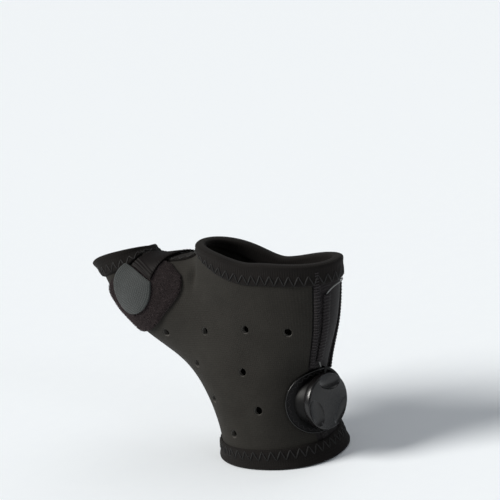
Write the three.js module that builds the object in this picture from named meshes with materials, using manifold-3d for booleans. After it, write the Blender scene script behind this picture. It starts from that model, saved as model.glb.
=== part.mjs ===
// Thumb spica splint for the right hand: a thermoformed shell round wrist, palm and thumb. It opens along the
// little-finger side over a stretch gusset, and a lace in two tunnels, drawn by a turning dial, closes it.
// Millimetres. +Z runs from the wrist to the fingers, -Y is the back of the hand, -X is the thumb side.
// Angles round the palm start at the little-finger side (+X) and run over the back of the hand.
import * as THREE from "three";
import { mergeVertices } from "three/addons/utils/BufferGeometryUtils.js";
import Module from "manifold-3d";

const wasm = await Module();
wasm.setup();

// Shell
const splintHeight = 98.5; // wrist rim to the rim beside the index knuckle
const wallThickness = 2.4;
const wristWidth = 59;
const wristDepth = 51;
const palmWidth = 68.5;
const palmDepth = 37;
const cornerPower = 2.2; // 2 is an ellipse, higher is squarer
const palmShift = 7.3; // the palm's middle lies this far to the little-finger side of the wrist's
const palmSet = 0.5; // and this far towards the palm
const rimDropUlnar = 10; // how much lower the hand rim lies here than beside the index knuckle
const rimDropDorsal = 7;
const rimDropPalmar = 14;
const gapStart = 25; // degrees, the shell's edge on the back of the hand
const gapEnd = 328; // degrees, its edge in the palm

// Thumb tube
const thumbRoot = { x: -10, y: 1, z: 12 };
const thumbLength = 104.6; // root to the middle of the thumb rim
const thumbSpread = 42.5; // degrees from +Z towards the thumb side
const thumbReach = 7.4; // degrees towards the palm
const thumbWidth = 30;
const thumbDepth = 29;
const thumbRimTilt = 27.5; // degrees by which the rim is turned level again
const thumbRimLift = 2.5; // the rim's rise on its front
const thumbBlend = 24; // how widely the thumb flows into the palm

// Web between thumb and index
const webLength = 54;
const webDepth = 24;
const webHeight = 32;
const webSag = 8.5; // its ridge lies this far below the index side of the hand rim
const webBlend = 14;
const webPower = 2.6; // its own roundness, as cornerPower

// Perforations
const holeDiameter = 3.6;

// Knitted edging along the rims
const edgingWidth = 8.2;
const edgingThickness = 0.8;
const edgingInside = 6; // how far it reaches down inside
const edgingTaper = 1.6; // its width beside the index knuckle, where it runs to a point
const taperReach = 30; // from there to the edging's full width
const thumbEdgingTaper = 3.2; // the thumb edging's width at the web
const webEdgingWidth = 12;
const clearance = 0.3; // between pieces that are sewn or laid together
const edgingClearance = 0.68;
const webClearance = 0.75; // under the web edging, where the shell curves both ways

// Gusset, binding and lace tunnels in the opening
const gussetThickness = 1.6;
const gussetSink = 0.5; // the gusset's face lies this far below the shell's
const bindingWidth = 2.4;
const bindingThickness = 1.2;
const tunnelWidth = 3.8;
const tunnelHeight = 2.3;
const tunnelWall = 0.45;
const tunnelTop = 76; // height of the tunnels' upper ends
const tunnelBottom = 49;
const palmarTunnelAngle = -21;
const laceDiameter = 0.8;

// Dial
const dialHeight = 26;
const dialAngle = 15.5;
const dialLift = 0.9; // its middle stands this much further off the surface, where the flange is stiff
const dialTurn = 16; // degrees, the way the dial faces round the wrist
const dialTilt = 1; // and upwards
const flangeDiameter = 30.8;
const flangeThickness = 1;
const housingDiameter = 23.5;
const guardThickness = 1.5;
const guardHeight = 3;
const guardFrom = -15; // degrees from the palm side, counted upwards
const guardTo = 70;
const knobDiameter = 25.6;
const knobHeight = 2.9;
const knobDome = 1.1;
const scallopDepth = 1.3;
const scallopReach = 0.74; // its middle, a share of the knob's radius from the axis
const scallopDepthways = 0.3; // its half widths towards the axis and along the rim, also shares of the radius
const scallopAlong = 0.55;
const knobSoft = 0.9; // rounding of the knob's edges
const housingChamfer = 0.6;
const guardArm = 6; // degrees of the guard's circle that each arm takes
const postDiameter = 8;
const dialTravel = 1.5; // how far the knob pulls out to release the lace
const housingHeight = dialTravel + 1; // the post stays in its bore when it is pulled out
const scallopFirst = 76; // degrees, the first of three
const runningGap = 0.4;

// Thumb closure
const strapLength = 33;
const strapWidth = 16;
const strapThickness = 1.1;
const tabDiameter = 24.6;
const tabThickness = 1.1;
const tabSet = 6; // the middle of the tab's circle
const tabOffset = -3.5; // and this far above the strap's line
const tabEnd = 13.8; // where the strap cuts the circle
const patchLength = 46;
const patchReach = 27; // its web end
const patchWidth = 36;
const patchThickness = 1.3;
const closurePlace = { along: 0.832, angle: 90 }; // start of its line: a share of thumbLength, and degrees
const closureSkew = 13; // degrees, how far the strap rises towards the web
const strapOffset = -4; // the strap's middle lies this far above its line

// Sections of the palm sleeve. at is a share of splintHeight. width and depth run from the
// wrist's size (0) to the palm's (1), and shift is a share of palmShift and palmSet.
const palmRows = [
  { at: 0.0, width: 0.0, depth: 0.0, shift: 0.0 },
  { at: 0.09, width: -0.63, depth: 0.06, shift: -0.096 },
  { at: 0.22, width: -1.06, depth: 0.3, shift: -0.28 },
  { at: 0.4, width: -0.47, depth: 0.62, shift: -0.04 },
  { at: 0.62, width: 0.5, depth: 0.86, shift: 0.5 },
  { at: 0.82, width: 0.88, depth: 0.98, shift: 0.85 },
  { at: 1.0, width: 1.0, depth: 1.0, shift: 1.0 },
];

// Sections of the thumb tube. at is a share of thumbLength. wide, deep and outward are shares of thumbWidth,
// thumbDepth and thumbWidth.
const thumbRows = [
  { at: 0.0, wide: 0.7, deep: 0.8, outward: -0.35 },
  { at: 0.3, wide: 0.9, deep: 1.0, outward: -0.3 },
  { at: 0.55, wide: 1.0, deep: 1.05, outward: -0.12 },
  { at: 0.8, wide: 1.0, deep: 1.0, outward: 0.06 },
  { at: 0.9, wide: 0.96, deep: 0.98, outward: 0.04 },
  { at: 1.0, wide: 0.9, deep: 0.92, outward: -0.02 },
];

// Perforations: angle round the palm in degrees, and height as a share of splintHeight.
const holeRows = [
  { angle: 170.9, at: 0.583 },
  { angle: 151.9, at: 0.614 },
  { angle: 102.1, at: 0.638 },
  { angle: 46.2, at: 0.618 },
  { angle: 157.5, at: 0.45 },
  { angle: 100.7, at: 0.442 },
  { angle: 139.2, at: 0.296 },
  { angle: 78.8, at: 0.266 },
  { angle: 113.5, at: 0.148 },
  { angle: 192, at: 0.56 },
  { angle: 216, at: 0.6 },
  { angle: 262, at: 0.6 },
  { angle: 304, at: 0.58 },
  { angle: 214, at: 0.4 },
  { angle: 262, at: 0.4 },
  { angle: 236, at: 0.24 },
  { angle: 290, at: 0.24 },
];

// Loop patch: at runs from its web end (1) round the thumb (0) as a share of patchLength.
// low and high are its edges below and above the strap's line as shares of patchWidth.
const patchRows = [
  { at: 0, low: -0.25, high: 0.25 },
  { at: 0.12, low: -0.417, high: 0.32 },
  { at: 0.25, low: -0.57, high: 0.333 },
  { at: 0.4, low: -0.667, high: 0.29 },
  { at: 0.52, low: -0.694, high: 0.18 },
  { at: 0.65, low: -0.722, high: 0.11 },
  { at: 0.78, low: -0.75, high: 0.083 },
  { at: 0.86, low: -0.75, high: -0.03 },
  { at: 0.94, low: -0.717, high: -0.2 },
  { at: 1, low: -0.64, high: -0.36 },
];

const rad = THREE.MathUtils.degToRad;
const mix = THREE.MathUtils.lerp;
const vec = (x, y, z) => new THREE.Vector3(x, y, z);
const span = (from, to, count) => Array.from({ length: count + 1 }, (_, i) => mix(from, to, i / count));

// A smooth curve through one column of a table, held level past its ends.
function curveOf(rows, name) {
  const last = rows.length - 1;
  const slopes = rows.map((row, i) => {
    const before = rows[Math.max(i - 1, 0)];
    const after = rows[Math.min(i + 1, last)];
    return (after[name] - before[name]) / (after.at - before.at);
  });
  return (at) => {
    if (at <= rows[0].at) return rows[0][name];
    if (at >= rows[last].at) return rows[last][name];
    let i = 0;
    while (rows[i + 1].at < at) i += 1;
    const step = rows[i + 1].at - rows[i].at;
    const t = (at - rows[i].at) / step;
    const from = (1 + 2 * t) * (1 - t) ** 2 * rows[i][name] + t * (1 - t) ** 2 * step * slopes[i];
    return from + t * t * (3 - 2 * t) * rows[i + 1][name] - t * t * (1 - t) * step * slopes[i + 1];
  };
}

const palmWidthAt = curveOf(palmRows, "width");
const palmDepthAt = curveOf(palmRows, "depth");
const palmShiftAt = curveOf(palmRows, "shift");
const thumbWideAt = curveOf(thumbRows, "wide");
const thumbDeepAt = curveOf(thumbRows, "deep");
const thumbOutwardAt = curveOf(thumbRows, "outward");

// Distance, to first order, from the surface |x/a|^n + |y/b|^n + |z/c|^n = 1.
function formDistance(x, y, z, a, b, c, power) {
  const u = Math.abs(x / a);
  const v = Math.abs(y / b);
  const w = Math.abs(z / c);
  const k = Math.max((u ** power + v ** power + w ** power) ** (1 / power), 1e-6);
  const slopeX = (u / k) ** (power - 1) / a;
  const slopeY = (v / k) ** (power - 1) / b;
  const slopeZ = (w / k) ** (power - 1) / c;
  return (k - 1) / Math.max(Math.sqrt(slopeX ** 2 + slopeY ** 2 + slopeZ ** 2), 0.7 / Math.max(a, b));
}

function palmSection(z) {
  const at = z / splintHeight;
  const shift = palmShiftAt(at);
  return {
    x: shift * palmShift,
    y: shift * palmSet,
    a: mix(wristWidth, palmWidth, palmWidthAt(at)) / 2,
    b: mix(wristDepth, palmDepth, palmDepthAt(at)) / 2,
  };
}

const thumbStart = vec(thumbRoot.x, thumbRoot.y, thumbRoot.z);
const thumbAxis = vec(
  -Math.sin(rad(thumbSpread)) * Math.cos(rad(thumbReach)),
  Math.sin(rad(thumbReach)),
  Math.cos(rad(thumbSpread)) * Math.cos(rad(thumbReach)),
);
const thumbFront = vec(0, -1, 0).addScaledVector(thumbAxis, thumbAxis.y).normalize();
const thumbOut = vec(0, 0, 0).crossVectors(thumbFront, thumbAxis);

function thumbSection(along) {
  const at = along / thumbLength;
  return {
    out: thumbOutwardAt(at) * thumbWidth,
    a: (thumbWideAt(at) * thumbWidth) / 2,
    b: (thumbDeepAt(at) * thumbDepth) / 2,
  };
}

function thumbCentre(along) {
  const out = thumbSection(along).out;
  return thumbStart.clone().addScaledVector(thumbAxis, along).addScaledVector(thumbOut, out);
}

const indexWall = palmShift - palmWidth / 2;
const webCentre = vec(indexWall, palmSet, 0).lerp(thumbCentre(thumbLength), 0.21);
webCentre.y = mix(palmSet, thumbCentre(thumbLength).y, 0.33);
webCentre.z = splintHeight - webSag - webHeight / 2;

function smoothMin(a, b, width) {
  const h = THREE.MathUtils.clamp(0.5 + (0.5 * (a - b)) / width, 0, 1);
  return mix(a, b, h) - width * h * (1 - h);
}

// Distance from the outer surface: palm sleeve, thumb tube and web flow into each other.
function field(p) {
  const s = palmSection(p.z);
  const palm = formDistance(p.x - s.x, p.y - s.y, 0, s.a, s.b, 1, cornerPower);
  const q = p.clone().sub(thumbStart);
  const along = q.dot(thumbAxis);
  const t = thumbSection(along);
  const end = Math.min(along, 0);
  const thumb = formDistance(q.dot(thumbOut) - t.out, q.dot(thumbFront), end, t.a, t.b, t.a, cornerPower);
  const w = p.clone().sub(webCentre);
  const web = formDistance(w.x, w.y, w.z, webLength / 2, webDepth / 2, webHeight / 2, webPower);
  return smoothMin(smoothMin(palm, thumb, thumbBlend), web, webBlend);
}

function gradient(p) {
  const e = 0.05;
  const rise = (x, y, z) => field(vec(p.x + x, p.y + y, p.z + z)) - field(vec(p.x - x, p.y - y, p.z - z));
  return vec(rise(e, 0, 0), rise(0, e, 0), rise(0, 0, e)).divideScalar(2 * e);
}

const normalAt = (p) => gradient(p).normalize();

// Moves a point near the surface onto it.
function settle(p, steps) {
  for (let i = 0; i < steps; i += 1) {
    const g = gradient(p);
    p.addScaledVector(g, (-0.9 * field(p)) / Math.max(g.lengthSq(), 0.05));
  }
  return p;
}

// The point where a ray from inside meets the surface.
function cast(origin, direction) {
  const way = direction.clone().normalize();
  let t = 0;
  for (let i = 0; i < 40; i += 1) t -= 0.8 * field(origin.clone().addScaledVector(way, t));
  return origin.clone().addScaledVector(way, t);
}

const lifted = (p, height) => p.clone().addScaledVector(normalAt(p), height);

function palmPoint(angle, z) {
  const s = palmSection(z);
  return cast(vec(s.x, s.y, z), vec(Math.cos(rad(angle)), -Math.sin(rad(angle)), 0));
}

function rimHeight(angle) {
  const c = Math.cos(rad(angle));
  const s = Math.sin(rad(angle));
  const drop = rimDropUlnar * Math.max(c, 0) ** 2;
  return splintHeight - drop - (s > 0 ? rimDropDorsal : rimDropPalmar) * s * s;
}

const handRimPoint = (angle) => palmPoint(angle, rimHeight(angle));

// Angles round the thumb rim start at the web and run over its front.
function thumbRimPoint(angle) {
  const c = Math.cos(rad(angle));
  const s = Math.sin(rad(angle));
  const level = thumbOut.clone().multiplyScalar(Math.cos(rad(thumbRimTilt)));
  level.addScaledVector(thumbAxis, Math.sin(rad(thumbRimTilt)));
  const centre = thumbCentre(thumbLength).addScaledVector(thumbAxis, thumbRimLift * Math.max(s, 0));
  return cast(centre, level.multiplyScalar(-c).addScaledVector(thumbFront, s));
}

// Walks over the surface from a point, and returns where it is and heads at each of the given distances.
function walk(start, heading, distances) {
  const p = start.clone();
  const way = heading.clone();
  let done = 0;
  const turn = () => {
    const n = normalAt(p);
    way.addScaledVector(n, -way.dot(n)).normalize();
  };
  turn();
  return distances.map((distance) => {
    while (done < distance - 1e-9) {
      const step = Math.min(1, distance - done);
      p.addScaledVector(way, step);
      settle(p, 2);
      turn();
      done += step;
    }
    return { p: p.clone(), way: way.clone() };
  });
}

// A closed wall between two sheets of the same net. Cells are quads of the rows' points, and points that
// coincide in the outer sheet are one.
function wallBetween(outer, inner, around = false) {
  const rows = outer.length;
  const columns = outer[0].length;
  const index = new Map();
  const points = [[], []];
  const ids = outer.map((row, j) =>
    row.map((p, i) => {
      const key = p.toArray().map((value) => Math.round(value * 1000)).join();
      if (!index.has(key)) {
        index.set(key, points[0].length);
        points[0].push(p);
        points[1].push(inner[j][i]);
      }
      return index.get(key);
    }),
  );
  const faces = [];
  const face = (a, b, c) => {
    if (a !== b && b !== c && c !== a) faces.push([a, b, c]);
  };
  for (let j = 0; j + 1 < rows; j += 1) {
    for (let i = 0; i + (around ? 0 : 1) < columns; i += 1) {
      const k = (i + 1) % columns;
      face(ids[j][i], ids[j + 1][i], ids[j + 1][k]);
      face(ids[j][i], ids[j + 1][k], ids[j][k]);
    }
  }
  const count = points[0].length;
  const edges = new Set();
  for (const f of faces) f.forEach((a, k) => edges.add(`${a},${f[(k + 1) % 3]}`));
  const all = faces.slice();
  for (const [a, b, c] of faces) all.push([a + count, c + count, b + count]);
  for (const edge of edges) {
    const [a, b] = edge.split(",").map(Number);
    if (!edges.has(`${b},${a}`)) {
      all.push([b, a, a + count]);
      all.push([b, a + count, b + count]);
    }
  }
  return { points: [...points[0], ...points[1]], faces: all };
}

function geometryOf({ points, faces }) {
  const geometry = new THREE.BufferGeometry();
  geometry.setAttribute("position", new THREE.Float32BufferAttribute(points.flatMap((p) => p.toArray()), 3));
  geometry.setIndex(faces.flat());
  return geometry;
}

function solidOf(geometry) {
  const bare = geometry.clone();
  bare.deleteAttribute("normal");
  bare.deleteAttribute("uv");
  const merged = mergeVertices(bare, 1e-3);
  const vertProperties = new Float32Array(merged.attributes.position.array);
  const triVerts = new Uint32Array(merged.index.array);
  return new wasm.Manifold(new wasm.Mesh({ numProp: 3, vertProperties, triVerts }));
}

function geometryFrom(solid) {
  const mesh = solid.getMesh();
  const geometry = new THREE.BufferGeometry();
  geometry.setAttribute("position", new THREE.Float32BufferAttribute(mesh.vertProperties, 3));
  geometry.setIndex(new THREE.BufferAttribute(mesh.triVerts, 1));
  return geometry;
}

// A finish for each kind of surface.
const finishes = {
  laminate: { color: 0x3f3d3a, roughness: 0.8, metalness: 0 },
  knit: { color: 0x2c2928, roughness: 0.9, metalness: 0 },
  stretch: { color: 0x221f20, roughness: 0.85, metalness: 0 },
  satin: { color: 0x1f1918, roughness: 0.55, metalness: 0 },
  pile: { color: 0x2a2424, roughness: 1, metalness: 0 },
  hook: { color: 0x474a49, roughness: 0.8, metalness: 0 },
  lace: { color: 0x8e8f8d, roughness: 0.5, metalness: 0 },
  plastic: { color: 0x1b1a1a, roughness: 0.4, metalness: 0 },
  knob: { color: 0x333031, roughness: 0.35, metalness: 0 },
};

const splint = new THREE.Group();

function addPiece(name, geometry, finish, parent = splint) {
  const bare = geometry.clone();
  bare.deleteAttribute("normal");
  bare.deleteAttribute("uv");
  const merged = mergeVertices(bare, 1e-3);
  const faceted = merged.toNonIndexed();
  faceted.computeVertexNormals();
  const mesh = new THREE.Mesh(faceted, new THREE.MeshStandardMaterial(finishes[finish]));
  mesh.name = name;
  parent.add(mesh);
  return mesh;
}

// Net of the shell. Columns run up from the wrist: the back of the hand, the web's front, round the
// thumb, the web's rear and the palm. The web's front and rear columns end on the same ridge.
const netRows = 14;
const backColumns = 12;
const webColumns = 6;
const thumbColumns = 18;
const palmColumns = 10;
const gapColumns = 4;
const wristStations = 28;
const rimBunching = 1.3; // above 1 the columns crowd towards the peak beside the index
const rowBunching = 0.45; // and the rows towards top and bottom
const backAngles = span(0, 1, backColumns).map((t) => mix(180, gapStart, (1 - t) ** rimBunching));
const palmAngles = span(0, 1, palmColumns).map((t) => mix(180, gapEnd, t ** rimBunching));

function shellNet() {
  const back = backAngles.map(handRimPoint);
  const thumb = span(0, 360, thumbColumns).map(thumbRimPoint);
  const palm = palmAngles.map(handRimPoint);
  const ridge = span(0, 1, webColumns).map((t) => back[backColumns].clone().lerp(thumb[0], t));
  ridge.slice(1, -1).forEach((p) => settle(p, 12));
  const top = [...back, ...ridge.slice(1, -1), ...thumb.slice(0, -1), ...ridge.slice(1).reverse(), ...palm];
  const columns = top.length;
  const bunch = rowBunching / (2 * Math.PI);
  const shares = span(0, 1, netRows).map((t) => t - bunch * Math.sin(2 * Math.PI * t));
  const net = shares.map((v) =>
    span(gapStart, gapEnd, columns - 1).map((angle, i) => {
      if (i === 0 || i === columns - 1) return palmPoint(angle, v * rimHeight(angle));
      const p = palmPoint(angle, 0).lerp(top[i], v);
      return v > 0 && v < 1 ? settle(p, 10) : p;
    }),
  );
  for (let round = 0; round < 7; round += 1) {
    const old = net.map((row) => row.map((p) => p.clone()));
    for (let j = 1; j < netRows; j += 1) {
      for (let i = 1; i + 1 < columns; i += 1) {
        const p = net[j][i];
        p.copy(old[j - 1][i]).add(old[j + 1][i]).add(old[j][i - 1]).add(old[j][i + 1]).multiplyScalar(0.25);
        settle(p, 2);
      }
    }
  }
  return net;
}

function shell() {
  const outer = shellNet();
  const inner = outer.map((row, j) =>
    row.map((p) => {
      const q = lifted(p, -wallThickness);
      if (j === 0) q.z = 0;
      return q;
    }),
  );
  let solid = solidOf(geometryOf(wallBetween(outer, inner)));
  for (const { angle, at } of holeRows) {
    const p = palmPoint(angle, at * splintHeight);
    const drill = new THREE.CylinderGeometry(holeDiameter / 2, holeDiameter / 2, 4 * wallThickness, 8);
    drill.applyQuaternion(new THREE.Quaternion().setFromUnitVectors(vec(0, 1, 0), normalAt(p)));
    drill.translate(p.x, p.y, p.z);
    solid = solid.subtract(solidOf(drill));
  }
  return geometryFrom(solid);
}

addPiece("shell", shell(), "laminate");

// Knitted edging: a channel that wraps a rim, with a wide leg outside and a shorter one inside.
function edging(rim, side, widthAt, flatBottom = false) {
  const count = rim.length;
  const outerRows = [1, 0.5, 0];
  const innerRows = [0, 1];
  const stations = rim.map((p, i) => {
    const along = rim[(i + 1) % count].clone().sub(rim[(i + count - 1) % count]);
    const down = vec(0, 0, 0).crossVectors(along, normalAt(p)).multiplyScalar(side).normalize();
    const width = widthAt(p);
    const outside = walk(p, down, outerRows.map((share) => share * width).reverse()).reverse();
    const inside = walk(p, down, innerRows.map((share) => (share * edgingInside * width) / edgingWidth));
    const up = flatBottom ? vec(0, 0, -1) : down.clone().negate();
    const skin = (far, deep, rise) => {
      const points = outside.map((station) => lifted(station.p, far));
      const tops = [lifted(p, far).addScaledVector(up, rise), lifted(p, -deep).addScaledVector(up, rise)];
      if (flatBottom) tops.forEach((top) => top.setZ(-rise));
      points.push(...tops, ...inside.map((station) => lifted(station.p, -deep)));
      return points;
    };
    const gap = edgingClearance;
    const near = gap + edgingThickness;
    return [skin(near, wallThickness + near, near), skin(gap, wallThickness + gap, gap)];
  });
  const loop = [...stations, stations[0]];
  const [outer, inner] = side > 0 ? [0, 1] : [1, 0];
  return geometryOf(wallBetween(loop.map((s) => s[outer]), loop.map((s) => s[inner])));
}

const taperedWidth = (p) => {
  const away = p.distanceTo(handRimPoint(180));
  return mix(edgingTaper, edgingWidth, THREE.MathUtils.smoothstep(away, 0, taperReach));
};

const thumbEdgingWidth = (p) => {
  const away = p.distanceTo(thumbRimPoint(0));
  return mix(thumbEdgingTaper, edgingWidth, THREE.MathUtils.smoothstep(away, 4, taperReach / 2));
};

const wristRim = span(0, 360, wristStations).slice(1).map((angle) => palmPoint(angle, 0));
const gapAngles = span(gapEnd, gapStart + 360, gapColumns).slice(1);
const handRim = [...backAngles.slice(1), ...palmAngles.slice(1), ...gapAngles].map(handRimPoint);
const thumbRim = span(0, 360, thumbColumns).slice(1).map(thumbRimPoint);
addPiece("wrist_edging", edging(wristRim, 1, () => edgingWidth, true), "knit");
addPiece("hand_edging", edging(handRim, -1, taperedWidth), "knit");
addPiece("thumb_edging", edging(thumbRim, -1, thumbEdgingWidth), "knit");

// A strip of cloth laid on the surface. spine gives its middle line's stations, and across(t) its two edges.
function laidSheet(spine, across, columns, low, high, turned = 1) {
  const net = spine.map(({ p, way }, j) => {
    const [from, to] = across(j / (spine.length - 1));
    const side = vec(0, 0, 0).crossVectors(way, normalAt(p)).multiplyScalar(turned);
    return span(from, to, columns).map((distance) => {
      const heading = distance < 0 ? side.clone().negate() : side;
      return walk(p, heading, [Math.abs(distance)])[0].p;
    });
  });
  const sheet = (height) => net.map((row) => row.map((p) => lifted(p, height)));
  const [outer, inner] = [sheet(high), sheet(low)];
  return geometryOf(turned > 0 ? wallBetween(inner, outer) : wallBetween(outer, inner));
}

// Web edging: a saddle over the ridge, between the taper beside the index and the thumb's edging.
function webEdging() {
  const rims = [handRimPoint(180), thumbRimPoint(0)];
  const ridge = span(0, 1, 16).map((t) => settle(rims[0].clone().lerp(rims[1], t), 14));
  const lengths = [0];
  for (let i = 1; i < ridge.length; i += 1) lengths.push(lengths[i - 1] + ridge[i].distanceTo(ridge[i - 1]));
  const total = lengths[lengths.length - 1];
  const at = (distance) => {
    const i = Math.max(1, lengths.findIndex((l) => l >= distance));
    const t = (distance - lengths[i - 1]) / (lengths[i] - lengths[i - 1]);
    return settle(ridge[i - 1].clone().lerp(ridge[i], t), 4);
  };
  const skin = edgingThickness + 2 * clearance;
  const places = span(edgingTaper + skin, total - edgingWidth - skin, 10);
  const spine = places.map((d) => ({ p: at(d), way: at(d + 0.5).sub(at(d - 0.5)).normalize() }));
  const across = (t) => {
    const half = mix(edgingTaper, webEdgingWidth / 2, THREE.MathUtils.smoothstep(t, 0, 0.55));
    return [-half, half];
  };
  return laidSheet(spine, across, 6, webClearance, webClearance + edgingThickness);
}
addPiece("web_edging", webEdging(), "knit");

// Strips that follow the opening, between two angles round the palm and two heights above the surface.
const openingRows = 11;
function openingPanel(fromAngle, toAngle, columns, fromShare, toShare, low, high) {
  const net = span(fromShare, toShare, openingRows).map((v) =>
    span(fromAngle, toAngle, columns).map((angle) => palmPoint(angle, v * rimHeight(angle))),
  );
  const sheet = (height) => net.map((row) => row.map((p) => lifted(p, height)));
  return geometryOf(wallBetween(sheet(high), sheet(low)));
}

const degreesFor = (length, z, angle) => (length / palmPoint(angle, z).distanceTo(palmPoint(angle + 1, z)));
const edgeStep = degreesFor(clearance, dialHeight, gapStart);
const gussetFrom = gapStart - edgeStep;
const gussetTo = gapEnd - 360 + edgeStep;
addPiece(
  "ulnar_gusset",
  openingPanel(gussetTo, gussetFrom, 6, 0, 1, -gussetSink - gussetThickness, -gussetSink),
  "stretch",
);

// Binding along the shell's edge on the back of the hand, above the dial's flange.
const bindingFrom = gussetFrom - edgeStep;
const bindingTo = bindingFrom - degreesFor(bindingWidth, tunnelBottom, gapStart);
const dorsalTunnelAngle = bindingTo - degreesFor(tunnelWidth / 2 + 1.5 * clearance, tunnelBottom, gapStart);
const bindingLow = clearance - gussetSink;
const flangeTop = dialHeight + flangeDiameter / 2;
const shareOf = (z, angle) => z / rimHeight(angle);
const bindingFoot = shareOf(flangeTop + 2 * clearance, bindingFrom);
const bindingHead = 1 - (edgingWidth + 3 * clearance) / splintHeight;
addPiece(
  "opening_binding",
  openingPanel(
    bindingTo,
    bindingFrom,
    2,
    bindingFoot,
    bindingHead,
    bindingLow,
    bindingLow + bindingThickness,
  ),
  "knit",
);

// Lace tunnels: flattened knitted tubes on the gusset, open at both ends.
const tunnelSides = 8;
const laceLift = clearance - gussetSink + tunnelHeight / 2;
function tunnel(angle) {
  const net = span(tunnelBottom, tunnelTop, 8).map((z) => {
    const p = palmPoint(angle, z);
    const n = normalAt(p);
    const side = palmPoint(angle + 1, z).sub(palmPoint(angle - 1, z));
    side.addScaledVector(n, -side.dot(n)).normalize();
    return { centre: p.addScaledVector(n, laceLift), n, side };
  });
  const ring = (inset) =>
    net.map(({ centre, n, side }) =>
      span(0, 2 * Math.PI, tunnelSides).slice(1).map((turn) =>
        centre
          .clone()
          .addScaledVector(side, -Math.cos(turn) * (tunnelWidth / 2 - inset))
          .addScaledVector(n, Math.sin(turn) * (tunnelHeight / 2 - inset)),
      ),
    );
  return geometryOf(wallBetween(ring(0), ring(tunnelWall), true));
}
addPiece("lace_tunnel_dorsal", tunnel(dorsalTunnelAngle), "knit");
addPiece("lace_tunnel_palmar", tunnel(palmarTunnelAngle), "knit");

// Dial, built along +Z and turned to face out of the wrist.
const dialWay = vec(
  Math.cos(rad(dialTilt)) * Math.cos(rad(dialTurn)),
  -Math.cos(rad(dialTilt)) * Math.sin(rad(dialTurn)),
  Math.sin(rad(dialTilt)),
);
const dialFoot = palmPoint(dialAngle, dialHeight);
const dialCentre = dialFoot.clone().addScaledVector(dialWay, dialLift);
const dialUp = vec(0, 0, 1).addScaledVector(dialWay, -dialWay.z).normalize();
const dialSide = vec(0, 0, 0).crossVectors(dialUp, dialWay);
const dialSpoke = (turn) => {
  const across = dialSide.clone().multiplyScalar(Math.cos(turn));
  return across.addScaledVector(dialUp, Math.sin(turn));
};
const dialFrame = new THREE.Matrix4().makeBasis(dialSide, dialUp, dialWay).setPosition(dialCentre);

// The flange is a disc of sheet that follows the surface round the dial's centre.
const flangeRings = 3;
const flangeSectors = 24;
function disc(low, high, radius) {
  const turns = span(0, 2 * Math.PI, flangeSectors).slice(1);
  const distances = span(0, radius, flangeRings);
  const spokes = turns.map((turn) => {
    return walk(dialFoot, dialSpoke(turn), distances).map((station) => station.p);
  });
  const sheet = (height) => distances.map((_, j) => spokes.map((spoke) => lifted(spoke[j], height)));
  return geometryOf(wallBetween(sheet(high), sheet(low), true));
}

// A turned piece on the dial's axis, from a profile of [radius, height] pairs.
function turned(profile, sides = 28) {
  const points = profile.map(([r, h]) => new THREE.Vector2(r, h));
  return solidOf(new THREE.LatheGeometry(points, sides).rotateX(Math.PI / 2));
}

const flangeFace = clearance + flangeThickness;
const housingFace = flangeFace + housingHeight;
const knobBase = housingFace + runningGap;
const knobEdge = knobBase + knobHeight;
const postRadius = postDiameter / 2;
const postFoot = flangeFace + clearance;
const postHead = knobBase + 0.6 * knobHeight;
const boreRadius = postRadius + runningGap;

function rod(radius, from, to, sides) {
  return turned([[0, from], [radius, from], [radius, to], [0, to]], sides);
}

// The guard stands round the knob's upper palm side on two arms, clear of the flange.
function guard() {
  const outer = flangeDiameter / 2;
  const inner = outer - guardThickness;
  const arm = guardArm;
  const reach = housingDiameter / 2 - 0.5;
  const at = (r, angle) => [r * Math.cos(rad(angle)), r * Math.sin(rad(angle))];
  const shape = new THREE.Shape();
  shape.moveTo(...at(reach, guardFrom));
  shape.lineTo(...at(outer, guardFrom));
  shape.absarc(0, 0, outer, rad(guardFrom), rad(guardTo), false);
  shape.lineTo(...at(reach, guardTo));
  shape.lineTo(...at(reach, guardTo - arm));
  shape.lineTo(...at(inner, guardTo - arm));
  shape.absarc(0, 0, inner, rad(guardTo - arm), rad(guardFrom + arm), true);
  shape.lineTo(...at(reach, guardFrom + arm));
  const options = { depth: guardHeight, bevelEnabled: false, curveSegments: 10 };
  return solidOf(new THREE.ExtrudeGeometry(shape, options).translate(0, 0, housingFace - guardHeight));
}

function dialBase() {
  const chamfer = housingChamfer;
  const r = housingDiameter / 2;
  const depth = flangeDiameter / 6;
  const face = housingFace;
  const profile = [[0, -depth], [r, -depth], [r, face - chamfer], [r - chamfer, face], [0, face]];
  const below = disc(-2 * depth, clearance, flangeDiameter / 2 + 1);
  const housing = turned(profile).add(guard()).transform(dialFrame.elements).subtract(solidOf(below));
  const bore = rod(boreRadius, postFoot - clearance, housingFace + 1, 16).transform(dialFrame.elements);
  const flange = solidOf(disc(clearance, flangeFace, flangeDiameter / 2));
  return geometryFrom(housing.add(flange).subtract(bore));
}
addPiece("dial_base", dialBase(), "plastic");

const dial = new THREE.Group();
dial.applyMatrix4(dialFrame);
splint.add(dial);
addPiece("dial_post", geometryFrom(rod(postRadius, postFoot, postHead, 16)), "plastic", dial);

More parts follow.
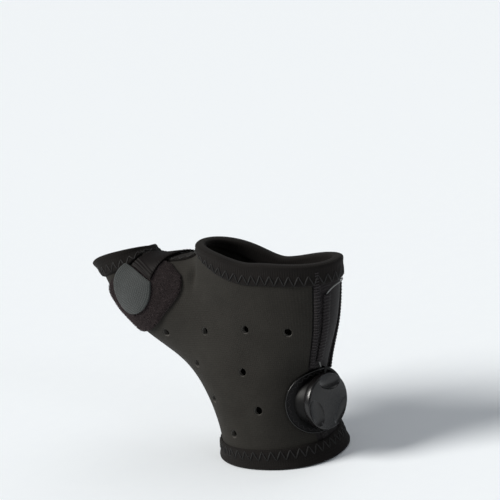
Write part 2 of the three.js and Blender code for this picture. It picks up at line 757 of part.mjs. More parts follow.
// Three finger scallops are cut into the knob's domed face.
function knob() {
  const r = knobDiameter / 2;
  const soft = knobSoft;
  const dome = span(0, 1, 4).map((t) => [(r - soft) * (1 - t), knobEdge + soft + knobDome * (2 * t - t * t)]);
  const profile = [[0, knobBase], [r - soft, knobBase], [r, knobBase + soft], [r, knobEdge], ...dome];
  let solid = turned(profile, 32).subtract(rod(boreRadius, knobBase - 1, postHead + runningGap, 16));
  for (let k = 0; k < 3; k += 1) {
    const angle = rad(scallopFirst + 120 * k);
    const dent = new THREE.SphereGeometry(1, 12, 8);
    dent.scale(scallopDepthways * r, scallopAlong * r, scallopDepth);
    const reach = scallopReach * r;
    const level = knobEdge + knobSoft + knobDome / 2;
    dent.rotateZ(angle).translate(reach * Math.cos(angle), reach * Math.sin(angle), level);
    solid = solid.subtract(solidOf(dent));
  }
  return geometryFrom(solid);
}
addPiece("dial_knob", knob(), "knob", dial);

// The lace leaves the flange, runs up through one tunnel, across, down the other and back under the flange.
// Angles of its ends are counted round the dial from the palm side upwards.
const laceEnd = (angle) => {
  const way = dialSpoke(rad(angle));
  return lifted(walk(dialFoot, way, [flangeDiameter / 2 + 2 * clearance])[0].p, laceLift);
};
const tunnelRun = (angle) =>
  span(tunnelBottom, tunnelTop, 8).map((z) => lifted(palmPoint(angle, z), laceLift));
const lacePoints = [
  laceEnd(80),
  ...tunnelRun(dorsalTunnelAngle),
  lifted(palmPoint(8, tunnelTop + 2.4), laceLift),
  lifted(palmPoint(-3, tunnelTop + 3), laceLift),
  lifted(palmPoint(-15, tunnelTop + 2.2), laceLift),
  ...tunnelRun(palmarTunnelAngle).reverse(),
  laceEnd(26),
];
const laceSection = new THREE.Shape();
laceSection.absarc(0, 0, laceDiameter / 2, 0, 2 * Math.PI, false);
const lacePath = new THREE.CatmullRomCurve3(lacePoints);
const laceOptions = { steps: 38, curveSegments: 3, bevelEnabled: false, extrudePath: lacePath };
addPiece("lace", new THREE.ExtrudeGeometry(laceSection, laceOptions), "lace");

// Thumb closure: a loop patch, and on it a satin strap that ends in a round hook tab. Distances run
// along a line up the strap, and to either side of that line.
function closureSpine(from, to, count) {
  const centre = thumbCentre(closurePlace.along * thumbLength);
  const turn = rad(closurePlace.angle);
  const outwards = thumbOut.clone().multiplyScalar(-Math.cos(turn));
  outwards.addScaledVector(thumbFront, Math.sin(turn));
  const middle = cast(centre, outwards);
  const heading = thumbAxis.clone().multiplyScalar(Math.sin(rad(closureSkew)));
  heading.addScaledVector(thumbOut, -Math.cos(rad(closureSkew)));
  const stations = span(from, to, count);
  const behind = stations.filter((d) => d < 0).map((d) => -d).reverse();
  const back = walk(middle, heading.clone().negate(), behind).reverse();
  back.forEach((station) => station.way.negate());
  return [...back, ...walk(middle, heading, stations.filter((d) => d >= 0))];
}

const patchLowAt = curveOf(patchRows, "low");
const patchHighAt = curveOf(patchRows, "high");
const closureLow = patchThickness + 2 * clearance;
addPiece(
  "loop_patch",
  laidSheet(
    closureSpine(patchReach - patchLength, patchReach, 14),
    (t) => [patchLowAt(t) * patchWidth, patchHighAt(t) * patchWidth],
    7,
    clearance,
    clearance + patchThickness,
    -1,
  ),
  "pile",
);

const tabRadius = tabDiameter / 2;
const tabStart = tabSet - 0.98 * tabRadius;
addPiece(
  "hook_tab",
  laidSheet(
    closureSpine(tabStart, tabEnd, 10),
    (t) => {
      const half = Math.sqrt(tabRadius ** 2 - (mix(tabStart, tabEnd, t) - tabSet) ** 2);
      return [tabOffset - half, tabOffset + half];
    },
    6,
    closureLow,
    closureLow + tabThickness,
    -1,
  ),
  "hook",
);
const strapStart = tabEnd + clearance;
addPiece(
  "thumb_strap",
  laidSheet(
    closureSpine(strapStart, strapStart + strapLength, 16),
    () => [strapOffset - strapWidth / 2, strapOffset + strapWidth / 2],
    4,
    closureLow,
    closureLow + strapThickness,
    -1,
  ),
  "satin",
);

// The middle of the box on its lowest face is the origin.
const box = new THREE.Box3().setFromObject(splint, true);
const middle = box.getCenter(vec(0, 0, 0));
splint.position.set(-middle.x, -middle.y, -box.min.z);

export default splint;
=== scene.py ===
import math

import bpy
import numpy as np
from mathutils import Matrix, Vector


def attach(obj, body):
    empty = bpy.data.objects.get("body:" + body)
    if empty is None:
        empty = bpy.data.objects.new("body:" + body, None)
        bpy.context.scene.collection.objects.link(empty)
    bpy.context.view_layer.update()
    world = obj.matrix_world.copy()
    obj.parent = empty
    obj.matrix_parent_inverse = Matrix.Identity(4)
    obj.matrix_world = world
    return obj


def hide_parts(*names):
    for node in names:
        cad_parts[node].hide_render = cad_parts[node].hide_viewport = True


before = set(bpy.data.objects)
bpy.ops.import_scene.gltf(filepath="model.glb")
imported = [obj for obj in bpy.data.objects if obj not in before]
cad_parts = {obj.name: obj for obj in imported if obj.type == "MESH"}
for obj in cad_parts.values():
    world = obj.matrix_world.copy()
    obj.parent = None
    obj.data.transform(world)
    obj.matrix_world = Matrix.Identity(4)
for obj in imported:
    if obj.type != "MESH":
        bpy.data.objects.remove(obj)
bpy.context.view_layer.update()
print("frame loaded")

# The hand's form, in millimetres: +Z to the fingers, -Y the back of the hand, -X the thumb side.

handForm = dict(
    height=98.5, wallThickness=2.4, shift=(27.1419, -1.115, 1.48), cornerPower=2.2,
    wristWidth=59.0, wristDepth=51.0, palmWidth=68.5, palmDepth=37.0, palmShift=7.3, palmSet=0.5,
    dropUlnar=10.0, dropDorsal=7.0, dropPalmar=14.0, gapStart=25.0, gapEnd=328.0,
    thumbRoot=(-10.0, 1.0, 12.0), thumbLength=104.6, thumbSpread=42.5, thumbReach=7.4, thumbWidth=30.0,
    thumbDepth=29.0, rimTilt=27.5, rimLift=2.5, thumbBlend=24.0,
    webSize=(54.0, 24.0, 32.0), webSag=8.5, webBlend=14.0, webPower=2.6,
    webAcross=0.21, webForward=0.33,
)
palmRows = dict(
    at=(0.0, 0.09, 0.22, 0.4, 0.62, 0.82, 1.0),
    width=(0.0, -0.63, -1.06, -0.47, 0.5, 0.88, 1.0),
    depth=(0.0, 0.06, 0.3, 0.62, 0.86, 0.98, 1.0),
    shift=(0.0, -0.096, -0.28, -0.04, 0.5, 0.85, 1.0),
)
thumbRows = dict(
    at=(0.0, 0.3, 0.55, 0.8, 0.9, 1.0),
    wide=(0.7, 0.9, 1.0, 1.0, 0.96, 0.9),
    deep=(0.8, 1.0, 1.05, 1.0, 0.98, 0.92),
    outward=(-0.35, -0.3, -0.12, 0.06, 0.04, -0.02),
)


def unit(ways):
    return ways / np.linalg.norm(ways, axis=-1, keepdims=True)


def toWorld(points):  # from the hand's millimetres to the scene's metres
    return (np.asarray(points) + np.array(handForm["shift"])) * 0.001


def runningLength(line):
    return np.concatenate([[0], np.cumsum(np.linalg.norm(np.diff(line, axis=0), axis=1))])


def closedLine(line):
    return np.concatenate([line, line[:1]])


def sampleRows(rows, name, at):  # a smooth curve through one column of a table, level past its ends
    x, y = np.array(rows["at"]), np.array(rows[name])
    at = np.clip(at, x[0], x[-1])
    i = np.clip(np.searchsorted(x, at, side="right") - 1, 0, len(x) - 2)
    before = np.maximum(np.arange(len(x)) - 1, 0)
    after = np.minimum(np.arange(len(x)) + 1, len(x) - 1)
    slope = (y[after] - y[before]) / (x[after] - x[before])
    step = x[i + 1] - x[i]
    t = (at - x[i]) / step
    start = (1 + 2 * t) * (1 - t) ** 2 * y[i] + t * (1 - t) ** 2 * step * slope[i]
    return start + t * t * (3 - 2 * t) * y[i + 1] - t * t * (1 - t) * step * slope[i + 1]


def formDistance(x, y, z, a, b, c, power):
    u, v, w = np.abs(x / a), np.abs(y / b), np.abs(z / c)
    k = np.maximum((u**power + v**power + w**power) ** (1 / power), 1e-6)
    slopes = [(s / k) ** (power - 1) / size for s, size in ((u, a), (v, b), (w, c))]
    steep = np.sqrt(slopes[0] ** 2 + slopes[1] ** 2 + slopes[2] ** 2)
    return (k - 1) / np.maximum(steep, 0.7 / np.maximum(a, b))


def palmSection(z):
    f, at = handForm, z / handForm["height"]
    shift = sampleRows(palmRows, "shift", at)
    a = (f["wristWidth"] + (f["palmWidth"] - f["wristWidth"]) * sampleRows(palmRows, "width", at)) / 2
    b = (f["wristDepth"] + (f["palmDepth"] - f["wristDepth"]) * sampleRows(palmRows, "depth", at)) / 2
    return shift * f["palmShift"], shift * f["palmSet"], a, b


spread, reach = math.radians(handForm["thumbSpread"]), math.radians(handForm["thumbReach"])
thumbAxis = np.array([
    -math.sin(spread) * math.cos(reach), math.sin(reach), math.cos(spread) * math.cos(reach),
])
thumbFront = unit(np.array([0.0, -1.0, 0.0]) + thumbAxis * thumbAxis[1])
thumbOut = np.cross(thumbFront, thumbAxis)


def thumbSection(along):
    f, at = handForm, along / handForm["thumbLength"]
    out = sampleRows(thumbRows, "outward", at) * f["thumbWidth"]
    wide = sampleRows(thumbRows, "wide", at) * f["thumbWidth"] / 2
    return out, wide, sampleRows(thumbRows, "deep", at) * f["thumbDepth"] / 2


def thumbCentre(along):
    out = thumbSection(np.array([along]))[0][0]
    return np.array(handForm["thumbRoot"]) + thumbAxis * along + thumbOut * out


thumbTip = thumbCentre(handForm["thumbLength"])
indexWall = handForm["palmShift"] - handForm["palmWidth"] / 2
webCentre = np.array([
    indexWall + handForm["webAcross"] * (thumbTip[0] - indexWall),
    handForm["palmSet"] + handForm["webForward"] * (thumbTip[1] - handForm["palmSet"]),
    handForm["height"] - handForm["webSag"] - handForm["webSize"][2] / 2,
])


def smoothMin(a, b, width):
    h = np.clip(0.5 + 0.5 * (a - b) / width, 0, 1)
    return a + (b - a) * h - width * h * (1 - h)


def field(p):  # distance from the outer surface
    f = handForm
    x, y, a, b = palmSection(p[:, 2])
    palm = formDistance(p[:, 0] - x, p[:, 1] - y, 0 * x, a, b, 1.0, f["cornerPower"])
    q = p - np.array(f["thumbRoot"])
    along = q @ thumbAxis
    out, wide, deep = thumbSection(along)
    beside, before, under = q @ thumbOut - out, q @ thumbFront, np.minimum(along, 0)
    thumb = formDistance(beside, before, under, wide, deep, wide, f["cornerPower"])
    w = p - webCentre
    webHalves = [np.full(len(p), side / 2) for side in f["webSize"]]
    web = formDistance(w[:, 0], w[:, 1], w[:, 2], *webHalves, f["webPower"])
    return smoothMin(smoothMin(palm, thumb, f["thumbBlend"]), web, f["webBlend"])


def gradient(p, e=0.05):
    columns = []
    for k in range(3):
        step = np.zeros(3)
        step[k] = e
        columns.append((field(p + step) - field(p - step)) / (2 * e))
    return np.stack(columns, 1)


def settle(p, steps=6):  # moves points near the surface onto it
    shape = p.shape
    p = p.reshape(-1, 3)
    for _ in range(steps):
        g = gradient(p)
        p = p - 0.85 * (field(p) / np.maximum((g**2).sum(1), 0.05))[:, None] * g
    return p.reshape(shape)


def normalsAt(p):
    return unit(gradient(p.reshape(-1, 3))).reshape(p.shape)


def cast(origin, way):  # from inside the hand, out to its surface
    way = unit(way)
    t = np.zeros(len(origin))
    for _ in range(50):
        t -= 0.75 * field(origin + way * t[:, None])
    return origin + way * t[:, None]


def palmPoints(angles, z):  # angles in degrees from the little-finger side over the back of the hand
    angles, z = np.broadcast_arrays(np.radians(np.asarray(angles, float)), np.asarray(z, float))
    x, y, _, _ = palmSection(z.ravel())
    origin = np.stack([x, y, z.ravel()], 1)
    way = np.stack([np.cos(angles.ravel()), -np.sin(angles.ravel()), 0 * x], 1)
    return cast(origin, way).reshape(z.shape + (3,))


def rimHeight(angles):
    c, s = np.cos(np.radians(angles)), np.sin(np.radians(angles))
    drop = np.where(s > 0, handForm["dropDorsal"], handForm["dropPalmar"]) * s * s
    return handForm["height"] - handForm["dropUlnar"] * np.maximum(c, 0) ** 2 - drop


def handRimPoints(angles):
    return palmPoints(angles, rimHeight(np.asarray(angles, float)))


def thumbRimPoints(angles):  # from the web over the thumb's front
    c, s = np.cos(np.radians(angles))[:, None], np.sin(np.radians(angles))[:, None]
    tilt = math.radians(handForm["rimTilt"])
    level = thumbOut * math.cos(tilt) + thumbAxis * math.sin(tilt)
    return cast(thumbTip + thumbAxis * handForm["rimLift"] * np.maximum(s, 0), -c * level + s * thumbFront)


def walk(start, heading, distances, stepSize=0.6):  # straight over the surface, all points at once
    p, way = start.copy(), heading.copy()
    done, stations = 0.0, []
    n = normalsAt(p)
    way = unit(way - n * (way * n).sum(1)[:, None])
    for distance in distances:
        while done < distance - 1e-9:
            step = min(stepSize, distance - done)
            p = settle(p + way * step, 2)
            n = normalsAt(p)
            way = unit(way - n * (way * n).sum(1)[:, None])
            done += step
        stations.append((p.copy(), way.copy()))
    return stations


def smoothStep(x, low, high):
    t = np.clip((x - low) / (high - low), 0, 1)
    return t * t * (3 - 2 * t)


# Making meshes.

def addObject(name, data):
    made = bpy.data.objects.new(name, data)
    bpy.context.scene.collection.objects.link(made)
    return made


def makePiece(name, points, faces, cornerUvs, material, sharpAngle=40.0):
    mesh = bpy.data.meshes.new(name)
    world = toWorld(points)
    volume = sum(  # the sign says which way the faces turn
        float(np.einsum("ij,ij->i", world[f[:, 0]], np.cross(world[f[:, k]], world[f[:, k + 1]])).sum())
        for f in faces for k in range(1, f.shape[1] - 1)
    )
    if volume < 0:
        faces = [f[:, ::-1] for f in faces]
        cornerUvs = [uv[:, ::-1] for uv in cornerUvs]
    mesh.from_pydata(world.tolist(), [], [row for f in faces for row in f.tolist()])
    layer = mesh.uv_layers.new(name="clothMm")
    layer.data.foreach_set("uv", np.concatenate([uv.reshape(-1, 2) for uv in cornerUvs]).ravel())
    mesh.polygons.foreach_set("use_smooth", [True] * len(mesh.polygons))
    mesh.set_sharp_from_angle(angle=math.radians(sharpAngle))
    mesh.materials.append(material)
    return addObject(name, mesh)


def lengthsAlong(net, closed=False):  # running length in mm down the middle of a net
    line = net[:, net.shape[1] // 2]
    return runningLength(closedLine(line) if closed else line)


def netUvs(v, u):  # each face's corners, in mm of cloth
    vGrid, uGrid = np.meshgrid(v, u, indexing="ij")
    uv = np.stack([uGrid, vGrid], 2)
    return np.stack([uv[:-1, :-1], uv[1:, :-1], uv[1:, 1:], uv[:-1, 1:]], 2).reshape(-1, 4, 2)


def sheetPiece(name, net, low, high, material, sharpAngle=40.0):  # a wall over a net, from low to high mm
    rows, columns, _ = net.shape
    flat = net.reshape(-1, 3)
    _, first, ids = np.unique(np.round(flat, 3), axis=0, return_index=True, return_inverse=True)
    ids = ids.reshape(rows, columns)
    base, normal = flat[first], normalsAt(flat[first])

    def lifted(height):
        return base + normal * np.broadcast_to(height, (rows, columns)).reshape(-1)[first][:, None]

    points = np.concatenate([lifted(high), lifted(low)])
    top = np.stack([ids[:-1, :-1], ids[1:, :-1], ids[1:, 1:], ids[:-1, 1:]], 2).reshape(-1, 4)
    topUv = netUvs(lengthsAlong(net), lengthsAlong(net.transpose(1, 0, 2)))
    edges = np.concatenate([np.stack([top[:, k], top[:, (k + 1) % 4]], 1) for k in range(4)])
    edgeUv = np.concatenate([np.stack([topUv[:, k], topUv[:, (k + 1) % 4]], 1) for k in range(4)])
    size = len(base) + 1
    codes, back = edges[:, 0] * size + edges[:, 1], edges[:, 1] * size + edges[:, 0]
    border = ~np.isin(codes, back)
    a, b = edges[border, 0], edges[border, 1]
    sides = np.stack([b, a, a + len(base), b + len(base)], 1)
    e = edgeUv[border]
    sideUv = np.stack([e[:, 1], e[:, 0], e[:, 0], e[:, 1]], 1)
    under = top[:, ::-1] + len(base)
    return makePiece(name, points, [top, under, sides], [topUv, topUv[:, ::-1], sideUv], material, sharpAngle)


def ringPiece(name, grid, material, sharpAngle=60.0):  # closed sections (rows) round a closed line (columns)
    rows, columns, _ = grid.shape
    ids = np.arange(rows * columns).reshape(rows, columns)
    down, right = np.roll(ids, -1, 0), np.roll(ids, -1, 1)
    faces = np.stack([ids, down, np.roll(down, -1, 1), right], 2).reshape(-1, 4)
    corners = netUvs(lengthsAlong(grid, True), lengthsAlong(grid.transpose(1, 0, 2), True))
    return makePiece(name, grid.reshape(-1, 3), [faces], [corners], material, sharpAngle)


def plainMesh(piece, name, material=None):  # the evaluated object as a mesh of its own, with no modifiers
    evaluated = piece.evaluated_get(bpy.context.evaluated_depsgraph_get())
    mesh = bpy.data.meshes.new_from_object(evaluated)
    plain = addObject(name, mesh)
    if material is not None:
        mesh.materials.clear()
        mesh.materials.append(material)
    bpy.data.objects.remove(piece)
    return plain


def setInputs(modifier, **values):
    for item in modifier.node_group.interface.items_tree:
        if item.item_type == "SOCKET" and item.in_out == "INPUT" and item.name.replace(" ", "") in values:
            modifier[item.identifier] = values[item.name.replace(" ", "")]


def hexColour(code):  # sRGB hex to linear
    parts = [int(code[i : i + 2], 16) / 255 for i in (0, 2, 4)]
    return tuple(c / 12.92 if c <= 0.04045 else ((c + 0.055) / 1.055) ** 2.4 for c in parts) + (1.0,)


def addNode(tree, kind, inputs=None, **settings):
    node = tree.nodes.new(kind)
    for name, value in settings.items():
        setattr(node, name, value)
    for key, value in (inputs or {}).items():
        if isinstance(value, bpy.types.NodeSocket):
            tree.links.new(value, node.inputs[key])
        else:
            node.inputs[key].default_value = value
    return node


def startTree(name, inputs):  # a geometry tree and its named inputs
    tree = bpy.data.node_groups.new(name, "GeometryNodeTree")
    for label, kind in {"Geometry": "Geometry", **inputs}.items():
        tree.interface.new_socket(label, in_out="INPUT", socket_type="NodeSocket" + kind)
    tree.interface.new_socket("Geometry", in_out="OUTPUT", socket_type="NodeSocketGeometry")
    return tree, addNode(tree, "NodeGroupInput").outputs


def endTree(tree, geometry, material):  # real meshes, all in one material
    real = addNode(tree, "GeometryNodeRealizeInstances", {0: geometry})
    done = addNode(tree, "GeometryNodeSetMaterial", {"Geometry": real.outputs[0], "Material": material})
    addNode(tree, "NodeGroupOutput", {0: done.outputs[0]})
    return tree


# Materials.

def startMaterial(name, **sockets):
    material = bpy.data.materials.new(name)
    material.use_nodes = True
    tree = material.node_tree
    shader = tree.nodes["Principled BSDF"]
    for key, value in sockets.items():
        shader.inputs[key.replace("_", " ")].default_value = value
    return material, tree, shader


def waveOf(tree, value, pitch):  # 0 to 1 and back over each pitch, in mm
    turned = addNode(tree, "ShaderNodeMath", {0: value, 1: 2 * math.pi / pitch}, operation="MULTIPLY")
    sine = addNode(tree, "ShaderNodeMath", {0: turned.outputs[0]}, operation="SINE")
    wave = addNode(tree, "ShaderNodeMath", {0: sine.outputs[0], 1: 0.5, 2: 0.5}, operation="MULTIPLY_ADD")
    return wave.outputs[0]


fullWeave = 0.22  # how far a plain weave or knit shades its cloth
yarnWidth = 0.55  # mm


def clothMaterial(name, dark, light, mottle, threads, relief, weave=fullWeave, **sockets):
    material, tree, shader = startMaterial(name, **sockets)
    uv = addNode(tree, "ShaderNodeUVMap", uv_map="clothMm").outputs["UV"]
    axes = addNode(tree, "ShaderNodeSeparateXYZ", {0: uv})
    place = addNode(tree, "ShaderNodeTexCoord").outputs["Object"]
    # mottling: broad uneven dye, and a finer melange of the yarn
    broad = addNode(
        tree, "ShaderNodeTexNoise", {"Vector": place, "Scale": 1000 / mottle, "Detail": 4.0, "Roughness": 0.6}
    ).outputs["Fac"]
    fine = addNode(
        tree, "ShaderNodeTexNoise",
        {"Vector": place, "Scale": 1000 / yarnWidth, "Detail": 2.0, "Roughness": 0.7},
    ).outputs["Fac"]
    across = waveOf(tree, axes.outputs["X"], threads[0])
    along = waveOf(tree, axes.outputs["Y"], threads[1])
    loops = addNode(tree, "ShaderNodeMath", {0: across, 1: along}, operation="MULTIPLY").outputs[0]
    blend = -0.1
    for part, share in ((fine, 0.55), (broad, 0.5), (loops, weave)):
        blend = addNode(
            tree, "ShaderNodeMath", {0: part, 1: share, 2: blend},
            operation="MULTIPLY_ADD", use_clamp=part is loops,
        ).outputs[0]
    colour = addNode(
        tree, "ShaderNodeMix", {0: blend, 6: hexColour(dark), 7: hexColour(light)},
        data_type="RGBA", clamp_factor=True,
    )
    woven = addNode(tree, "ShaderNodeMath", {0: loops, 1: weave / fullWeave}, operation="MULTIPLY").outputs[0]
    height = addNode(tree, "ShaderNodeMath", {0: fine, 1: 0.6, 2: woven}, operation="MULTIPLY_ADD").outputs[0]
    bump = addNode(tree, "ShaderNodeBump", {"Height": height, "Distance": relief * 0.001, "Strength": 1.0})
    tree.links.new(colour.outputs[2], shader.inputs["Base Color"])
    tree.links.new(bump.outputs[0], shader.inputs["Normal"])
    return material


def mouldedMaterial(name, dark, light, grain, relief, **sockets):
    material, tree, shader = startMaterial(name, **sockets)
    place = addNode(tree, "ShaderNodeTexCoord").outputs["Object"]
    broad = addNode(tree, "ShaderNodeTexNoise", {"Vector": place, "Scale": 1000 / 9.0, "Detail": 3.0})
    spark = addNode(tree, "ShaderNodeTexNoise", {"Vector": place, "Scale": 1000 / grain, "Detail": 2.0})
    cloud, rough = broad.outputs["Fac"], sockets["Roughness"]
    colour = addNode(
        tree, "ShaderNodeMix", {0: cloud, 6: hexColour(dark), 7: hexColour(light)}, data_type="RGBA"
    )
    worn = addNode(
        tree, "ShaderNodeMapRange", {"Value": cloud, "To Min": rough - 0.05, "To Max": rough + 0.08}
    )
    bump = addNode(
        tree, "ShaderNodeBump", {"Height": spark.outputs["Fac"], "Distance": relief * 0.001, "Strength": 1.0}
    )
    tree.links.new(colour.outputs[2], shader.inputs["Base Color"])
    tree.links.new(worn.outputs[0], shader.inputs["Roughness"])
    tree.links.new(bump.outputs[0], shader.inputs["Normal"])
    return material


# Brushed knit on a thermoplastic laminate: a matt, slightly melange face with hardly any gloss.
laminateKnit = clothMaterial(
    "laminate knit", "141210", "373531", 16.0, (0.9, 1.1), 0.05,
    Roughness=0.9, Sheen_Weight=0.03, Specular_IOR_Level=0.12,
)
# The laminate's core, cut through in the holes: a paler foam.
# The walls of the punched holes, painted paler than the face.
paleHoleWalls = clothMaterial(
    "pale hole walls", "3c3a37", "625f5b", 2.0, (0.4, 0.4), 0.03, Roughness=0.8, Specular_IOR_Level=0.3
)
# Ribbed nylon edging tape: closer and a little browner than the face cloth.
edgingTape = clothMaterial(
    "knitted edging tape", "0c0a0a", "201d1b", 7.0, (1.0, 1.4), 0.09,
    Roughness=0.88, Sheen_Weight=0.03, Specular_IOR_Level=0.12,
)
# Stretch knit: smooth and dark, with fine ribs.
stretchKnit = clothMaterial(
    "stretch knit", "100d0e", "221e1f", 10.0, (0.8, 1.6), 0.05,
    Roughness=0.82, Sheen_Weight=0.06, Specular_IOR_Level=0.25,
)
# Satin-weave webbing: long floats give a soft sheen along the strap.
satinWebbing = clothMaterial(
    "satin webbing", "070404", "100b0a", 8.0, (0.7, 2.2), 0.03, Roughness=0.6, Specular_IOR_Level=0.12
)
# Brushed nylon loop: a fuzzy brown-black face.
loopPile = clothMaterial(
    "brushed loop pile", "0e0b0b", "3b3333", 1.6, (1.3, 1.3), 0.2, weave=0.0,
    Roughness=0.95, Sheen_Weight=0.05, Specular_IOR_Level=0.1,
)
# The loops' own fibres, standing out of the pile.
pileFibre = clothMaterial(
    "pile fibre", "171213", "6f6465", 0.9, (0.5, 0.5), 0.01, weave=0.0, Roughness=0.9, Specular_IOR_Level=0.1
)
# Woven hook tape: a grey, coarse basket weave.
hookWeave = clothMaterial(
    "woven hook tape", "171a1a", "3c403f", 5.0, (1.1, 1.1), 0.2,
    Roughness=0.78, Sheen_Weight=0.15, Specular_IOR_Level=0.3,
)
# Bonded polyester thread, darker than the cloth it lies on.
stitchThread = clothMaterial(
    "bonded thread", "080707", "171514", 2.0, (0.5, 0.5), 0.02, Roughness=0.6, Specular_IOR_Level=0.4
)
# Painted highlight for the web band's folded end: a paler, smoother cloth that stands in for light caught on the
# fold's edge.
foldHighlightCloth = clothMaterial(
    "painted fold highlight", "5e5b58", "8d8a86", 3.0, (0.6, 0.6), 0.03, Roughness=0.5, Specular_IOR_Level=0.4
)
# Overlock yarn: a shade lighter than the knit it binds.
overlockThread = clothMaterial(
    "overlock yarn", "191617", "393537", 3.0, (0.5, 0.5), 0.03, Roughness=0.75, Specular_IOR_Level=0.3
)
# Rib-knitted tape: crosswise ribs stand in relief on it.
ribbedKnit = clothMaterial(
    "rib-knitted tape", "110e0f", "2a2627", 5.0, (0.6, 0.5), 0.04,
    Roughness=0.82, Sheen_Weight=0.06, Specular_IOR_Level=0.25,
)
# Braided grey cord.
braidedCord = clothMaterial(
    "braided cord", "5c5d5b", "929391", 1.5, (0.5, 0.5), 0.05, Roughness=0.5, Specular_IOR_Level=0.5
)
# Glass-filled nylon, moulded with a fine matt texture.
mouldedNylon = mouldedMaterial(
    "moulded nylon", "040404", "080707", 0.6, 0.01, Roughness=0.45, Specular_IOR_Level=0.16
)
# ABS knob: smoother, with broad soft highlights.
mouldedAbs = mouldedMaterial(
    "moulded ABS", "0a0909", "100e0f", 0.5, 0.006, Roughness=0.25, Specular_IOR_Level=0.42
)
# Pale paper sweep.
paperSweep = mouldedMaterial(
    "paper sweep", "f2f6fb", "f4f8fc", 2.0, 0.0, Roughness=0.9, Specular_IOR_Level=0.1
)
print("materials made")


# Camera, floor and lights.

cameraForm = dict(
    azimuth=30.0, elevation=21.0, roll=-9.0, distance=700.0, mmPerPixel=0.47, side=500, sensor=36.0,
    wristPixel=(284.5, 443.0),
)


def placeCamera(form):
    az, el, roll = (math.radians(form[key]) for key in ("azimuth", "elevation", "roll"))
    centre = np.array(handForm["shift"])
    toCamera = np.array([math.sin(az) * math.cos(el), -math.cos(az) * math.cos(el), math.sin(el)])
    position = centre + toCamera * form["distance"]
    dx = (form["side"] / 2 - form["wristPixel"][0]) * form["mmPerPixel"]
    dy = (form["wristPixel"][1] - form["side"] / 2) * form["mmPerPixel"]
    forward = -toCamera
    for _ in range(6):  # turns until the wrist's middle falls on its pixel
        right = unit(np.cross(forward, [0, 0, 1.0]))
        up = np.cross(right, forward)
        right, up = (
            right * math.cos(roll) + up * math.sin(roll),
            up * math.cos(roll) - right * math.sin(roll),
        )
        forward = unit(centre + right * dx + up * dy - position)
    right = unit(right - forward * (right @ forward))
    up = np.cross(right, forward)
    data = bpy.data.cameras.new("camera")
    data.lens = form["sensor"] * form["distance"] / form["mmPerPixel"] / form["side"]
    data.sensor_width = form["sensor"]
    camera = addObject("camera", data)
    turn = Matrix((right, up, -forward)).transposed().to_4x4()
    camera.matrix_world = Matrix.Translation(position * 0.001) @ turn
    bpy.context.scene.camera = camera


lightForm = [
    dict(name="keyLight", place=(-1.15, -0.75, 0.95), strength=3.5, spread=25.0, colour="fffdf8"),
    dict(name="sideLight", place=(1.0, -0.5, 0.5), strength=0.15, spread=12.0, colour="f6faff"),
    dict(name="topLight", place=(0.2, 0.5, 1.1), strength=0.45, spread=50.0, colour="ffffff"),
]
studioForm = dict(colour="eef3f7", strength=0.25)


def placeLights(forms, studio):
    for form in forms:
        data = bpy.data.lights.new(form["name"], "SUN")
        data.angle = math.radians(form["spread"])
        data.energy = form["strength"]
        data.color = hexColour(form["colour"])[:3]
        light = addObject(form["name"], data)
        light.location = form["place"]
        light.rotation_euler = (-Vector(form["place"])).to_track_quat("-Z", "Y").to_euler()
    world = bpy.data.worlds.new("studio")
    world.use_nodes = True
    glow = world.node_tree.nodes["Background"].inputs
    glow["Color"].default_value = hexColour(studio["colour"])
    glow["Strength"].default_value = studio["strength"]
    bpy.context.scene.world = world
    bpy.context.scene.view_settings.view_transform = "Standard"


placeCamera(cameraForm)
placeLights(lightForm, studioForm)
floorMesh = bpy.data.meshes.new("floor")
floorMesh.from_pydata([(-6, -6, 0), (6, -6, 0), (6, 6, 0), (-6, 6, 0)], [], [(0, 1, 2, 3)])
floorMesh.materials.append(paperSweep)
floor = addObject("floor", floorMesh)
print("camera, floor and lights placed")


# Shell: one net like a pair of trousers, its columns running up from the wrist.

shellForm = dict(
    rows=22, backColumns=24, webColumns=9, thumbColumns=24, finer=4, relaxRounds=22, sharpAngle=50.0,
    holeDiameter=3.6, holeFlare=0.38, holeSides=28, holeDepth=5.0,
    dentAngle=167.0, dentHeight=85.0, dentDepth=1.9, dentWidth=2.3, dentLength=6.0,
)
holeRows = dict(  # nine on the back of the hand, then eight on the palm
    angle=(
        170.9, 151.9, 102.1, 46.2, 157.5, 100.7, 139.2, 78.8, 113.5,
        192, 216, 262, 304, 214, 262, 236, 290,
    ),
    at=(
        0.583, 0.614, 0.638, 0.618, 0.45, 0.442, 0.296, 0.266, 0.148,
        0.56, 0.6, 0.6, 0.58, 0.4, 0.4, 0.24, 0.24,
    ),
)


def shellTop(form, finer):
    back = np.linspace(handForm["gapStart"], 180, form["backColumns"] * finer + 1)
    palm = np.linspace(180, handForm["gapEnd"], form["backColumns"] * finer + 1)
    thumb = thumbRimPoints(np.linspace(0, 360, form["thumbColumns"] * finer + 1))
    handBack, handPalm = handRimPoints(back), handRimPoints(palm)
    t = np.linspace(0, 1, form["webColumns"] * finer + 1)[:, None]
    web = handBack[-1] * (1 - t) + thumb[0] * t
    web[1:-1] = settle(web[1:-1], 14)
    thumb[-1] = thumb[0]
    handPalm[0] = handBack[-1]
    return np.concatenate([handBack, web[1:], thumb[1:-1], web[::-1], handPalm[1:]])


def relax(net, rounds, steps):  # evens out the inner points along the surface
    for _ in range(rounds):
        mean = 0.25 * (net[:-2, 1:-1] + net[2:, 1:-1] + net[1:-1, :-2] + net[1:-1, 2:])
        net[1:-1, 1:-1] = settle(mean, steps)


